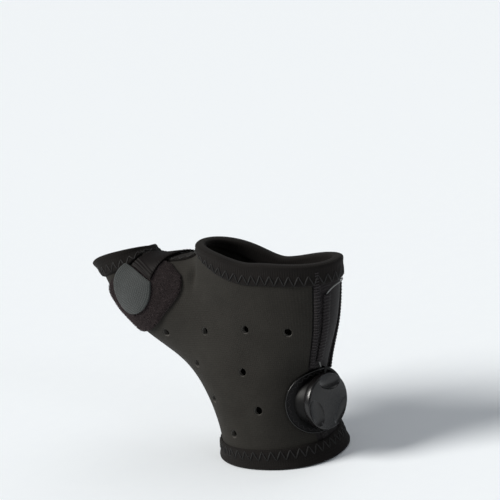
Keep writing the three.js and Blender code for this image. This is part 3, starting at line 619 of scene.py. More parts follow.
def shellNet(form):
    top = shellTop(form, 1)
    count = len(top)
    angles = np.linspace(handForm["gapStart"], handForm["gapEnd"], count)
    v = np.linspace(0, 1, form["rows"] + 1)
    net = palmPoints(angles, 0.0)[None] * (1 - v)[:, None, None] + top[None] * v[:, None, None]
    net[1:-1] = settle(net[1:-1], 8)
    for i in (0, -1):
        net[:, i] = palmPoints(angles[i], v * rimHeight(angles[i]))
    relax(net, form["relaxRounds"], 2)
    fine = form["finer"]
    rowsAt = np.linspace(0, form["rows"], form["rows"] * fine + 1)
    columnsAt = np.linspace(0, count - 1, (count - 1) * fine + 1)
    low = np.minimum(rowsAt.astype(int), form["rows"] - 1)
    net = net[low] + (net[low + 1] - net[low]) * (rowsAt - low)[:, None, None]
    left = np.minimum(columnsAt.astype(int), count - 2)
    net = net[:, left] + (net[:, left + 1] - net[:, left]) * (columnsAt - left)[None, :, None]
    net[1:-1] = settle(net[1:-1], 5)
    net[0] = palmPoints(np.linspace(handForm["gapStart"], handForm["gapEnd"], net.shape[1]), 0.0)
    net[-1] = shellTop(form, fine)
    for i, angle in ((0, handForm["gapStart"]), (-1, handForm["gapEnd"])):
        net[:, i] = palmPoints(angle, rowsAt / form["rows"] * rimHeight(angle))
    relax(net, 3, 1)  # takes out the facets of the coarse net
    return net


def punchTree():  # punches a hole at each point of another object, square to its stored facing
    tree, given = startTree("punchedHoles", {"Places": "Object", "Punch": "Object", "Cloth": "Material"})
    places = addNode(tree, "GeometryNodeObjectInfo", {"Object": given["Places"]})
    punch = addNode(tree, "GeometryNodeObjectInfo", {"Object": given["Punch"]})
    facing = addNode(
        tree, "GeometryNodeInputNamedAttribute", {"Name": "facing"}, data_type="FLOAT_VECTOR"
    ).outputs["Attribute"]
    turn = addNode(tree, "FunctionNodeAlignRotationToVector", {"Vector": facing}, axis="Z").outputs[0]
    punches = addNode(
        tree, "GeometryNodeInstanceOnPoints",
        {"Points": places.outputs["Geometry"], "Instance": punch.outputs["Geometry"], "Rotation": turn},
    )
    real = addNode(tree, "GeometryNodeRealizeInstances", {0: punches.outputs[0]})
    cut = addNode(
        tree, "GeometryNodeMeshBoolean", {"Mesh 1": given["Geometry"], "Mesh 2": real.outputs[0]},
        operation="DIFFERENCE", solver="EXACT",
    )
    return endTree(tree, cut.outputs["Mesh"], given["Cloth"])


def makePunch(form):  # a pin that flares where it meets the shell's face
    r, flare, sides = form["holeDiameter"] / 2, form["holeFlare"], form["holeSides"]
    profile = [(r, -form["holeDepth"]), (r, -flare), (r + 0.3 * flare, -0.3 * flare), (r + flare, 0.02)]
    profile += [(r + 1.6 * flare, 0.9)]
    turns = [2 * math.pi * k / sides for k in range(sides)]
    vertices = [
        (0.001 * radius * math.cos(turn), 0.001 * radius * math.sin(turn), 0.001 * height)
        for radius, height in profile for turn in turns
    ]
    faces = [
        (j * sides + k, j * sides + (k + 1) % sides, (j + 1) * sides + (k + 1) % sides, (j + 1) * sides + k)
        for j in range(len(profile) - 1) for k in range(sides)
    ]
    faces += [tuple(range(sides))[::-1], tuple(range((len(profile) - 1) * sides, len(profile) * sides))]
    mesh = bpy.data.meshes.new("punch")
    mesh.from_pydata(vertices, [], faces)
    return addObject("punch", mesh)


def sunkenNet(form, net):  # how far each point lies below the form, where the laminate is drawn in
    dent = palmPoints(np.array([form["dentAngle"]]), form["dentHeight"])[0]
    along = (net - dent) @ np.array([0.0, 0.0, 1.0])
    across = np.linalg.norm(net - dent - along[..., None] * np.array([0.0, 0.0, 1.0]), axis=2)
    fade = np.exp(-((across / form["dentWidth"]) ** 2) - (along / form["dentLength"]) ** 2)
    return -form["dentDepth"] * fade


def paintHoleWalls(form, shell, places, facing):  # paints the walls of the holes paler than the face
    shell.data.materials.append(paleHoleWalls)
    count = len(shell.data.polygons)
    centres, facings = np.zeros(count * 3), np.zeros(count * 3)
    shell.data.polygons.foreach_get("center", centres)
    shell.data.polygons.foreach_get("normal", facings)
    centres = centres.reshape(-1, 3) * 1000 - np.array(handForm["shift"])
    facings = facings.reshape(-1, 3)
    slots = np.zeros(count, int)
    reach = form["holeDiameter"] / 2 + 1.1 * form["holeFlare"]
    for spot, way in zip(places, facing):
        away = centres - spot
        beside = np.linalg.norm(away - (away @ way)[:, None] * way, axis=1)
        near = (beside < reach) & (np.linalg.norm(away, axis=1) < form["holeDepth"] + 1)
        slots[near & (np.abs(facings @ way) < 0.85)] = 1
    shell.data.polygons.foreach_set("material_index", slots)


def makeShell(form):
    net = shellNet(form)
    sunk = sunkenNet(form, net)
    inside = sunk - handForm["wallThickness"]
    piece = sheetPiece("shellBody", net, inside, sunk, laminateKnit, form["sharpAngle"])
    places = palmPoints(np.array(holeRows["angle"], float), np.array(holeRows["at"]) * handForm["height"])
    facing = normalsAt(places)
    mesh = bpy.data.meshes.new("holePlaces")
    mesh.from_pydata(toWorld(places).tolist(), [], [])
    mesh.attributes.new("facing", "FLOAT_VECTOR", "POINT").data.foreach_set("vector", facing.ravel())
    points, punch = addObject("holePlaces", mesh), makePunch(form)
    modifier = piece.modifiers.new("holes", "NODES")
    modifier.node_group = punchTree()
    setInputs(modifier, Places=points, Punch=punch, Cloth=laminateKnit)
    shell = plainMesh(piece, "shellFace", laminateKnit)
    for helper in (points, punch):
        bpy.data.objects.remove(helper)
    shell.data.polygons.foreach_set("use_smooth", [True] * len(shell.data.polygons))
    shell.data.set_sharp_from_angle(angle=math.radians(form["sharpAngle"]))
    paintHoleWalls(form, shell, places, facing)
    return shell


def place(piece, body, slot, *nodes):
    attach(piece, body)
    if nodes:
        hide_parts(*nodes)


shell = makeShell(shellForm)
place(shell, "brace", "laminate", "shell")
print("shell made:", len(shell.data.polygons), "faces")


# Stitches: one tree lays a thread over each edge of a line.

def threadTree():
    sizes = {"Thread Radius": "Float", "Overlap": "Float", "Thread": "Material"}
    tree, given = startTree("laidStitches", sizes)
    ends = addNode(tree, "GeometryNodeInputMeshEdgeVertices").outputs
    run = addNode(
        tree, "ShaderNodeVectorMath", {0: ends["Position 2"], 1: ends["Position 1"]}, operation="SUBTRACT"
    )
    stored = addNode(
        tree, "GeometryNodeStoreNamedAttribute",
        {"Geometry": given["Geometry"], "Name": "run", "Value": run.outputs[0]},
        data_type="FLOAT_VECTOR", domain="EDGE",
    )
    points = addNode(tree, "GeometryNodeMeshToPoints", {"Mesh": stored.outputs[0]}, mode="EDGES")
    kept = addNode(
        tree, "GeometryNodeInputNamedAttribute", {"Name": "run"}, data_type="FLOAT_VECTOR"
    ).outputs["Attribute"]
    turn = addNode(tree, "FunctionNodeAlignRotationToVector", {"Vector": kept}, axis="Z")
    length = addNode(tree, "ShaderNodeVectorMath", {0: kept}, operation="LENGTH").outputs["Value"]
    half = addNode(tree, "ShaderNodeMath", {0: length, 1: 0.5, 2: given["Overlap"]}, operation="MULTIPLY_ADD")
    radius = given["Thread Radius"]
    scale = addNode(tree, "ShaderNodeCombineXYZ", {"X": radius, "Y": radius, "Z": half.outputs[0]}).outputs[0]
    bead = addNode(tree, "GeometryNodeMeshUVSphere", {"Segments": 6, "Rings": 5, "Radius": 1.0}).outputs["Mesh"]
    soft = addNode(tree, "GeometryNodeSetShadeSmooth", {"Geometry": bead, "Shade Smooth": True}).outputs[0]
    laid = addNode(
        tree, "GeometryNodeInstanceOnPoints",
        {"Points": points.outputs[0], "Instance": soft, "Rotation": turn.outputs[0], "Scale": scale},
    )
    return endTree(tree, laid.outputs[0], given["Thread"])


laidStitches = threadTree()


def stitchPiece(name, lines, radius, material=stitchThread, overlap=0.1):  # lines of points in mm, and if closed
    points, edges = [], []
    for line, closed in lines:
        start = len(points)
        points += list(line)
        edges += [(start + i, start + i + 1) for i in range(len(line) - 1)]
        if closed:
            edges.append((start + len(line) - 1, start))
    mesh = bpy.data.meshes.new(name + "Line")
    mesh.from_pydata(toWorld(points).tolist(), edges, [])
    guide = addObject(name + "Line", mesh)
    modifier = guide.modifiers.new("stitches", "NODES")
    modifier.node_group = laidStitches
    setInputs(modifier, ThreadRadius=radius * 0.001, Overlap=overlap * 0.001, Thread=material)
    place(plainMesh(guide, name), "brace", "knit")


def zigzagLine(lowRow, highRow, closed, pitch):  # steps from one row to the other, a pitch at a time
    loops = [closedLine(row) if closed else row for row in (lowRow, highRow)]
    lengths = runningLength(loops[0])
    count = max(2, 2 * int(round(lengths[-1] / pitch / 2)))
    at = np.linspace(0, lengths[-1], count + 1)
    at = at[:-1] if closed else at
    rows = [np.stack([np.interp(at, lengths, loop[:, k]) for k in range(3)], 1) for loop in loops]
    pick = (np.arange(len(at)) % 2)[:, None]
    return rows[0] * (1 - pick) + rows[1] * pick


def walkedRows(points, headings, reach, count=24):
    return np.array([p for p, _ in walk(points, headings, np.linspace(0, reach, count + 1))])


# Edging round the three rims: tape folded over the shell's edge, sewn with a zigzag.

edgingForm = dict(
    width=8.2, inside=6.0, reach=1.46, thickness=1.05, clear=0.12, taper=1.6, taperReach=30.0, thumbTaper=3.2,
    stations=300, thumbStations=200, stitchFrom=3.2, stitchTo=7.7, stitchPitch=2.2, threadRadius=0.32,
)


def rowOf(rows, reach, distance):  # each column's point at its distance, over rows walked evenly to reach
    x = np.clip(distance / reach * (len(rows) - 1), 0, len(rows) - 1)
    i = np.minimum(x.astype(int), len(rows) - 2)
    k = np.arange(rows.shape[1])
    return rows[i, k] + (rows[i + 1, k] - rows[i, k]) * (x - i)[:, None]


def edgingRing(name, form, rim, side, width, flatBottom=False):  # the skin, row by row round its section
    normal = normalsAt(rim)
    down = unit(np.cross(np.roll(rim, -1, 0) - np.roll(rim, 1, 0), normal) * side)
    rows = walkedRows(rim, down, form["width"], 20)
    innerWidth = width * form["inside"] / form["width"]
    wall, top, clear = handForm["wallThickness"], form["thickness"], form["clear"]

    def raised(distance, height):
        p = rowOf(rows, form["width"], distance)
        return p + normalsAt(p) * height

    shares = np.array([0, 0.08, 0.2, 0.35, 0.5, 0.65, 0.8, 0.9, 0.96, 1.0])
    heights = np.interp(shares, [0, 0.2, 0.9, 0.96, 1.0], [top + 0.2, top, top, top * 0.8, 0.3])
    skin = [raised(width * share, height) for share, height in zip(shares[::-1], heights[::-1])]
    outwards = -down
    if flatBottom:
        outwards = np.tile([0, 0, -1.0], (len(rim), 1))
        normal = unit(normal * [1, 1, 0])
    half = wall / 2 + top + 0.2
    for turn in np.linspace(0, math.pi, 11)[1:-1]:  # the fold over the shell's edge
        depth = half * math.copysign(abs(math.cos(turn)) ** 0.8, math.cos(turn)) - wall / 2
        skin.append(rim + normal * depth + outwards * form["reach"] * math.sin(turn) ** 0.7)
    skin += [raised(innerWidth * share, -wall - height) for share, height in zip(shares, heights)]
    skin += [raised(innerWidth * share, -wall - clear) for share in (0.98, 0.5, 0.0)]
    skin += [raised(width * share, clear) for share in (0.0, 0.5, 0.98)]
    piece = ringPiece(name, np.array(skin), edgingTape)
    lines = [
        raised(np.minimum(across, width * across / form["width"] + 0.15), top + 0.06)
        for across in (form["stitchFrom"], form["stitchTo"])
    ]
    return piece, zigzagLine(lines[0], lines[1], True, form["stitchPitch"])


def evenRim(maker, count):  # stations evenly spaced along a closed rim
    angles = np.linspace(0, 360, 721)[:-1]
    lengths = runningLength(closedLine(maker(angles)))
    at = np.interp(np.linspace(0, lengths[-1], count + 1)[:-1], lengths, np.linspace(0, 360, 721))
    return maker(at)


peak = handRimPoints(np.array([180.0]))[0]
crotch = thumbRimPoints(np.array([0.0]))[0]
handRim = evenRim(handRimPoints, edgingForm["stations"])
wristRim = evenRim(lambda angles: palmPoints(angles, 0.0), edgingForm["stations"])
thumbRim = evenRim(thumbRimPoints, edgingForm["thumbStations"])


def taperedWidth(form, rim, narrowest, spot, start, stop):  # the tape narrows towards a spot on its rim
    away = np.linalg.norm(rim - spot, axis=1)
    return narrowest + (form["width"] - narrowest) * smoothStep(away, start, stop)


handWidth = taperedWidth(edgingForm, handRim, edgingForm["taper"], peak, 0, edgingForm["taperReach"])
thumbReach = edgingForm["taperReach"] / 2
thumbWidth = taperedWidth(edgingForm, thumbRim, edgingForm["thumbTaper"], crotch, 4, thumbReach)
wristWidth = np.full(len(wristRim), edgingForm["width"])
wristBand, wristZigzag = edgingRing("wristBand", edgingForm, wristRim, 1, wristWidth, flatBottom=True)
handBand, handZigzag = edgingRing("handBand", edgingForm, handRim, -1, handWidth)
thumbBand, thumbZigzag = edgingRing("thumbBand", edgingForm, thumbRim, -1, thumbWidth)
for piece, node in ((wristBand, "wrist_edging"), (handBand, "hand_edging"), (thumbBand, "thumb_edging")):
    place(piece, "brace", "knit", node)
rimZigzags = [(line, True) for line in (wristZigzag, handZigzag, thumbZigzag)]
stitchPiece("rimStitches", rimZigzags, edgingForm["threadRadius"])
print("edgings made:", len(handBand.data.polygons), "faces in the hand's")


# Laying nets on the surface: points walked off a line to either side of it.

def laidNet(points, ways, low, high, columns, turned=1):  # low and high are mm beside the line, at each point
    side = unit(np.cross(ways, normalsAt(points)) * turned)
    reach = float(np.abs(np.stack([low, high])).max()) + 0.5
    right, left = walkedRows(points, side, reach), walkedRows(points, -side, reach)
    columnsOut = []
    for t in np.linspace(0, 1, columns + 1):
        beside = low + (high - low) * t
        onRight = rowOf(right, reach, np.maximum(beside, 0))
        onLeft = rowOf(left, reach, np.maximum(-beside, 0))
        columnsOut.append(np.where((beside > 0)[:, None], onRight, onLeft))
    return np.stack(columnsOut, 1)


def padOf(shape, low, high, soft=0.12):  # heights of a sheet's face, eased down at its borders
    rows, columns = (np.linspace(0, 1, n) for n in shape)
    edge = np.minimum(np.minimum(columns, 1 - columns)[None, :], np.minimum(rows, 1 - rows)[:, None])
    return low + (high - low) * (1 - soft * (1 - smoothStep(edge, 0, 0.04)))


# Web band: a saddle of the same tape over the ridge between thumb and index.

webForm = dict(
    start=0.9, stop=2.2, startHalf=1.1, half=6.1, lift=0.12, thickness=1.0, pitch=2.2,
    foldLength=5.4, foldRadius=0.5, foldLift=1.25,
)


def makeWebBand(form):
    t = np.linspace(0, 1, 81)[:, None]
    ridge = settle(peak * (1 - t) + crotch * t, 14)
    lengths = runningLength(ridge)
    at = np.linspace(form["start"], lengths[-1] - form["stop"], 61)
    points = settle(np.stack([np.interp(at, lengths, ridge[:, k]) for k in range(3)], 1), 4)
    ways = np.gradient(points, axis=0)
    half = form["startHalf"] + (form["half"] - form["startHalf"]) * smoothStep(np.linspace(0, 1, 61), 0, 0.55)
    net = laidNet(points, ways, -half, half, 24)
    top = form["lift"] + form["thickness"]
    face = padOf(net.shape[:2], form["lift"], top, 0.5)
    piece = sheetPiece("webBand", net, form["lift"] - 0.05, face, edgingTape)
    lines = []
    for outer, inner in ((0, 4), (24, 20)):
        rows = [net[8:, k] + normalsAt(net[8:, k]) * (top + 0.05) for k in (outer, inner)]
        lines.append((zigzagLine(rows[0], rows[1], False, form["pitch"]), False))
    return piece, lines, at[-1]


webBand, webLines, webLength = makeWebBand(webForm)
place(webBand, "brace", "knit", "web_edging")
stitchPiece("webStitches", webLines, edgingForm["threadRadius"])
# Painted highlight: a pale sliver laid along the band's folded end beside the index knuckle, for the light that
# the fold's edge catches.
foldWalk = walk(peak[None], np.array([[0.12, 0.0, -1.0]]), np.linspace(0.5, webForm["foldLength"], 5))
foldLine = np.concatenate([p for p, _ in foldWalk])
foldLine = foldLine + normalsAt(foldLine) * webForm["foldLift"]
stitchPiece("foldedEnd", [(foldLine, False)], webForm["foldRadius"], material=foldHighlightCloth, overlap=0.4)
print("web band made")


# The opening: a stretch gusset, a binding along the shell's edge, and ribbed tapes with lace tunnels on them.

openingForm = dict(
    sink=0.5, gussetThickness=1.6, gussetFlat=(58.0, 88.0), gap=0.3,
    bindingWidth=2.5, bindingThickness=1.15, bindingFrom=42.3, bindingTo=88.5, ribPitch=1.35, ribRadius=0.34,
    tunnelWidth=3.8, tunnelHeight=1.8, tunnelWall=0.45, tunnelFrom=dict(Dorsal=44.5, Palmar=36.0), tunnelTo=76.0,
    tunnelRib=1.5, tunnelRelief=0.34, tapeWidth=4.6, tapeFrom=5.0, tapeTo=84.5, palmarAngle=-21.0, seed=7,
)
gapHeight, tunnelMiddle = 26.0, 49.0  # mm up the wrist, where widths are turned into degrees


def degreesFor(length, z, angle):
    a, b = palmPoints(np.array([angle, angle + 1.0]), z)
    return length / float(np.linalg.norm(a - b))


gapStep = degreesFor(openingForm["gap"], gapHeight, handForm["gapStart"])
gussetFrom, gussetTo = handForm["gapEnd"] - 360 + gapStep, handForm["gapStart"] - gapStep
bindingEdge = gussetTo - gapStep
bindingEnd = bindingEdge - degreesFor(openingForm["bindingWidth"], tunnelMiddle, handForm["gapStart"])
tunnelReach = openingForm["tunnelWidth"] / 2 + 1.5 * openingForm["gap"]
dorsalAngle = bindingEnd - degreesFor(tunnelReach, tunnelMiddle, handForm["gapStart"])


def stripNet(fromAngle, toAngle, columns, heights):  # heights in mm, up the wrist
    angles = np.linspace(fromAngle, toAngle, columns + 1)
    return palmPoints(angles[None, :], np.asarray(heights)[:, None])


def makeGusset(form):
    shares = np.linspace(0, 1, 97)[:, None]
    angles = np.linspace(gussetFrom, gussetTo, 41)[None, :]
    net = palmPoints(angles, shares * rimHeight(angles))
    low = -form["sink"] - form["gussetThickness"]
    piece = sheetPiece("gussetPanel", net, low, -form["sink"], stretchKnit)
    place(piece, "brace", "stretch_knit", "ulnar_gusset")


def makeBinding(form):
    heights = np.linspace(form["bindingFrom"], form["bindingTo"], 70)
    net = stripNet(bindingEnd, bindingEdge, 10, heights)
    low = form["gap"] - form["sink"]
    across = np.sin(np.linspace(0, math.pi, 11)) ** 0.6
    high = low + 0.3 + (form["bindingThickness"] - 0.3) * across[None, :]
    high = np.repeat(high, len(heights), 0)
    piece = sheetPiece("openingBinding", net, low, high, stretchKnit, sharpAngle=60.0)
    place(piece, "brace", "knit", "opening_binding")
    random = np.random.default_rng(form["seed"])
    ribs = []
    z = form["bindingFrom"] + 0.8
    while z < form["bindingTo"] - 1:
        slant = random.normal(0.5, 0.22)
        line = palmPoints(np.linspace(bindingEnd, bindingEdge, 5), z + slant * np.linspace(1, 0, 5))
        lift = low + 0.25 + form["bindingThickness"] * np.array([0.15, 0.75, 0.92, 0.75, 0.1])
        ribs.append((line + normalsAt(line) * lift[:, None], False))
        z += form["ribPitch"] * random.uniform(0.8, 1.2)
    stitchPiece("bindingRibs", ribs, form["ribRadius"], material=overlockThread, overlap=0.15)


def makeTape(name, form, angle, turned):  # the ribbed tape under a tunnel, sewn to the gusset
    half = degreesFor(form["tapeWidth"] / 2, tunnelMiddle, angle)
    heights = np.arange(form["tapeFrom"], form["tapeTo"], form["tunnelRib"] / 6)
    net = stripNet(angle - half, angle + half, 8, heights)
    across = np.linspace(-1, 1, 9)
    random = np.random.default_rng(form["seed"] + turned)
    wander = np.interp(heights, np.linspace(0, 100, 26), random.normal(0, 0.5, 26))
    phase = (heights + wander)[:, None] + 0.5 * across[None, :] ** 2 + 0.15 * turned * across[None, :]
    rib = 0.5 + 0.5 * np.sin(2 * math.pi * phase / form["tunnelRib"])
    high = -form["sink"] + 0.3 + 0.4 * rib * (1 - across[None, :] ** 4)
    piece = sheetPiece(name, net, -form["sink"] + 0.02, high, ribbedKnit, sharpAngle=70.0)
    place(piece, "brace", "knit")


def makeTunnel(name, form, angle, lowEnd, node):
    heights = np.arange(lowEnd, form["tunnelTo"] + 0.01, form["tunnelRib"] / 8)
    middle = palmPoints(np.full(len(heights), angle), heights)
    n = normalsAt(middle)
    ahead, behind = (palmPoints(np.full(len(heights), angle + step), heights) for step in (1, -1))
    side = ahead - behind
    side = unit(side - n * (side * n).sum(1)[:, None])
    middle = middle + n * (form["gap"] - form["sink"] + form["tunnelHeight"] / 2)
    turns = np.linspace(0, 2 * math.pi, 25)[:-1]

    def tube(inset, relief):
        rings = []
        for turn in turns:
            x, y = math.cos(turn), math.sin(turn)
            rib = relief * (np.sin(2 * math.pi * (heights + 0.55 * x * x) / form["tunnelRib"]) - 1) * 0.5
            wide, high = (form[key] / 2 - inset + rib for key in ("tunnelWidth", "tunnelHeight"))
            rings.append(middle + side * (x * wide[:, None]) + n * (y * high[:, None]))
        return np.stack(rings, 1)

    outer, inner = tube(0.0, form["tunnelRelief"]), tube(form["tunnelWall"], 0.0)
    skin = np.concatenate([outer, inner[::-1]])
    piece = ringPiece(name, skin, ribbedKnit, sharpAngle=70.0)
    place(piece, "brace", "knit", node)


makeGusset(openingForm)
makeBinding(openingForm)
for name, angle, node, turned in (
    ("Dorsal", dorsalAngle, "lace_tunnel_dorsal", 1),
    ("Palmar", openingForm["palmarAngle"], "lace_tunnel_palmar", 2),
):
    makeTape("tunnelTape" + name, openingForm, angle, turned)
    makeTunnel("laceTunnel" + name, openingForm, angle, openingForm["tunnelFrom"][name], node)
print("opening made")


# Dial: a flange that follows the wrist, a housing with a guard, and a knob with three finger scallops.

dialForm = dict(
    height=gapHeight, angle=15.5, lift=0.9, turn=16.0, tilt=1.0, gap=0.3, runningGap=0.4, post=8.0,
    flange=30.8, flangeThickness=1.0, spokes=96, bead=0.34, housing=23.5, housingHeight=2.5, chamfer=0.6,
    guardThickness=1.5, guardHeight=3.0, guardFrom=-15.0, guardTo=70.0, guardArm=6.0,
    stitchFrom=2.3, stitchTo=0.9, stitchPitch=1.5, stitchRadius=0.13,
    knob=25.6, knobHeight=2.9, knobSides=288, dome=1.1, soft=0.9,
    scallopDepth=1.7, scallopFirst=76.0, scallopReach=0.74, scallopDepthways=0.3, scallopAlong=0.55,
)
tilt, turn = math.radians(dialForm["tilt"]), math.radians(dialForm["turn"])
dialWay = np.array([math.cos(tilt) * math.cos(turn), -math.cos(tilt) * math.sin(turn), math.sin(tilt)])
dialFoot = palmPoints(np.array([dialForm["angle"]]), dialForm["height"])[0]
dialCentre = dialFoot + dialWay * dialForm["lift"]
dialUp = unit(np.array([0, 0, 1.0]) - dialWay * dialWay[2])
dialSide = np.cross(dialUp, dialWay)


def onDial(radius, turns, height):  # points about the dial's axis
    radius, turns, height = np.broadcast_arrays(radius, turns, height)
    spoke = np.cos(turns)[..., None] * dialSide + np.sin(turns)[..., None] * dialUp
    return dialCentre + radius[..., None] * spoke + height[..., None] * dialWay


def latheNet(profile, sides):  # rows run along the profile, columns round the axis
    radii, heights = np.array(profile).T
    turns = np.linspace(0, 2 * math.pi, sides + 1)[:-1]
    return onDial(radii[:, None], turns[None, :], heights[:, None])


def joinPieces(name, pieces):
    with bpy.context.temp_override(active_object=pieces[0], selected_editable_objects=pieces):
        bpy.ops.object.join()
    pieces[0].name = pieces[0].data.name = name
    return pieces[0]


def flangeWalk(radius, sides, count):  # rings of points on the wrist, out from the dial's middle
    turns = np.linspace(0, 2 * math.pi, sides + 1)[:-1]
    headings = np.cos(turns)[:, None] * dialSide + np.sin(turns)[:, None] * dialUp
    return walkedRows(np.repeat(dialFoot[None], sides, 0), headings, radius, count)


def makeFlange(form, spokes, face):  # sewn down flat, with a bead round its rim
    def raised(rows, height):
        return rows + normalsAt(rows) * height

    inner = spokes[10:]
    skin = np.concatenate([raised(inner, face), raised(inner[::-1], form["gap"])])
    flange = ringPiece("flange", skin, mouldedNylon, sharpAngle=50.0)
    rim, n = spokes[-1], normalsAt(spokes[-1])
    out = unit(rim - spokes[-2])
    bead = np.stack([
        rim + n * (face - 0.1 + form["bead"] * math.sin(turn)) + out * (form["bead"] * (math.cos(turn) - 0.9))
        for turn in np.linspace(0, 2 * math.pi, 13)[:-1]
    ])
    reach = form["flange"] / 2
    stitchRows = [
        raised(rowOf(spokes, reach, np.full(form["spokes"], reach - inset)), face + 0.04)
        for inset in (form["stitchFrom"], form["stitchTo"])
    ]
    return [flange, ringPiece("lip", bead, mouldedAbs, sharpAngle=80.0)], stitchRows


def makeDialBase(form):
    face = form["gap"] + form["flangeThickness"]
    spokes = flangeWalk(form["flange"] / 2, form["spokes"], 20)
    pieces, stitchRows = makeFlange(form, spokes, face)
    r, top, chamfer = form["housing"] / 2, face + form["housingHeight"], form["chamfer"]
    bore = form["post"] / 2 + form["runningGap"]
    profile = [
        (bore, top - 0.3), (bore + 0.3, top), (r - chamfer, top), (r - 0.15, top - 0.2), (r, top - chamfer),
        (r, -2.5), (r - 1.2, -2.5), (bore, face),  # the skirt runs down to the wrist's curve
    ]
    pieces.append(ringPiece("housing", latheNet(profile, 96), mouldedNylon, sharpAngle=40.0))
    outer, low, high = form["flange"] / 2, top - form["guardHeight"], top
    inside = outer - form["guardThickness"]
    turns = np.radians(np.linspace(form["guardFrom"], form["guardTo"], 41))
    section = [
        (outer - 0.25, low), (outer, low + 0.25), (outer, high - 0.3), (outer - 0.1, high - 0.08),
        (outer - 0.3, high), (inside + 0.3, high), (inside, high - 0.3), (inside, low),
    ]
    pieces.append(openTube("guard", np.stack([onDial(radius, turns, height) for radius, height in section])))
    for edge, inward in ((form["guardFrom"], form["guardArm"]), (form["guardTo"], -form["guardArm"])):
        sides = np.radians([edge, edge + inward])
        pieces.append(openTube("arm", np.stack([
            onDial(np.array([r - 0.6, outer - 0.2]), sides[i], height)
            for i, height in ((0, low), (1, low), (1, high - 0.05), (0, high - 0.05))
        ])))
    base = joinPieces("dialBase", pieces)
    line = zigzagLine(stitchRows[0], stitchRows[1], True, form["stitchPitch"])
    stitchPiece("flangeStitches", [(line, True)], form["stitchRadius"], material=overlockThread)
    place(base, "brace", "housing_plastic", "dial_base")


def openTube(name, grid):  # a closed section (rows) along an open line (columns), capped
    rows, columns, _ = grid.shape
    ids = np.arange(rows * columns).reshape(rows, columns)
    down = np.roll(ids, -1, 0)
    faces = np.stack([ids[:, :-1], down[:, :-1], down[:, 1:], ids[:, 1:]], 2).reshape(-1, 4)
    caps = [ids[::-1, 0][None], ids[:, -1][None]]
    uvs = [np.zeros(f.shape + (2,)) for f in (faces, *caps)]
    return makePiece(name, grid.reshape(-1, 3), [faces, *caps], uvs, mouldedNylon, 40.0)


def makeKnob(form, head):
    r, soft, sides = form["knob"] / 2, form["soft"], form["knobSides"]
    base = knobFoot(form)
    edge = base + form["knobHeight"]
    turns = np.linspace(0, 2 * math.pi, sides + 1)[:-1]
    radii = np.linspace(0.02, r - soft, 60)
    dome = edge + soft + form["dome"] * (1 - (radii / (r - soft)) ** 2)
    top = np.repeat(dome[:, None], sides, 1)
    edgeTurns = np.linspace(0, math.pi / 2, 9)[1:]
    radii = np.concatenate([radii, r - soft + soft * np.sin(edgeTurns)])
    top = np.concatenate([top, np.repeat((edge + soft * np.cos(edgeTurns))[:, None], sides, 1)])
    level = edge + soft + form["dome"] / 2
    for k in range(3):  # each scallop is an ellipsoid, longer along the rim
        angle = math.radians(form["scallopFirst"] + 120 * k)
        x = radii[:, None] * np.cos(turns - angle) - form["scallopReach"] * r
        y = radii[:, None] * np.sin(turns - angle)
        away = (x / (form["scallopDepthways"] * r)) ** 2 + (y / (form["scallopAlong"] * r)) ** 2
        inside = np.maximum(1 - away, 0)
        dent = np.where(inside > 0, level - form["scallopDepth"] * np.sqrt(inside), 99.0)
        top = np.where(dent < top, smoothMin(top, dent, 0.06), top)
    bore = form["post"] / 2 + form["runningGap"]
    under = [(r, base + soft * 0.6), (r - 0.25, base + 0.12), (r - 0.6, base)]
    under += [(bore, base), (bore, head), (0.02, head)]
    underRadii, underHeights = np.array(under).T
    radii = np.concatenate([radii, underRadii])
    heights = np.concatenate([top, np.repeat(underHeights[:, None], sides, 1)])
    knob = ringPiece("dialKnob", onDial(radii[:, None], turns[None, :], heights), mouldedAbs, sharpAngle=50.0)
    place(knob, "knob", "knob_plastic", "dial_knob")


def makePost(form, head):
    r, foot, top = form["post"] / 2, form["gap"] * 2 + form["flangeThickness"], head - form["runningGap"]
    profile = [(0.02, foot), (r - 0.2, foot), (r, foot + 0.2), (r, top - 0.3), (r - 0.3, top), (0.02, top)]
    post = ringPiece("dialPost", latheNet(profile, 48), mouldedNylon, sharpAngle=40.0)
    place(post, "release", "housing_plastic", "dial_post")


def knobFoot(form):
    return form["gap"] + form["flangeThickness"] + form["housingHeight"] + form["runningGap"]


makeDialBase(dialForm)
# The knob's bore ends over the post.
boreTop = knobFoot(dialForm) + 0.6 * dialForm["knobHeight"] + dialForm["runningGap"]
makeKnob(dialForm, boreTop)
makePost(dialForm, boreTop)
print("dial made")


# Lace: one braided cord out of the dial, up through a tunnel, across the gusset and down the other.

laceForm = dict(
    diameter=0.6, sides=10, stations=320, upEnd=80.0, downEnd=26.0,
    over=((8.0, 2.4), (-3.0, 3.0), (-15.0, 2.2)),  # degrees, and mm above the tunnels
)


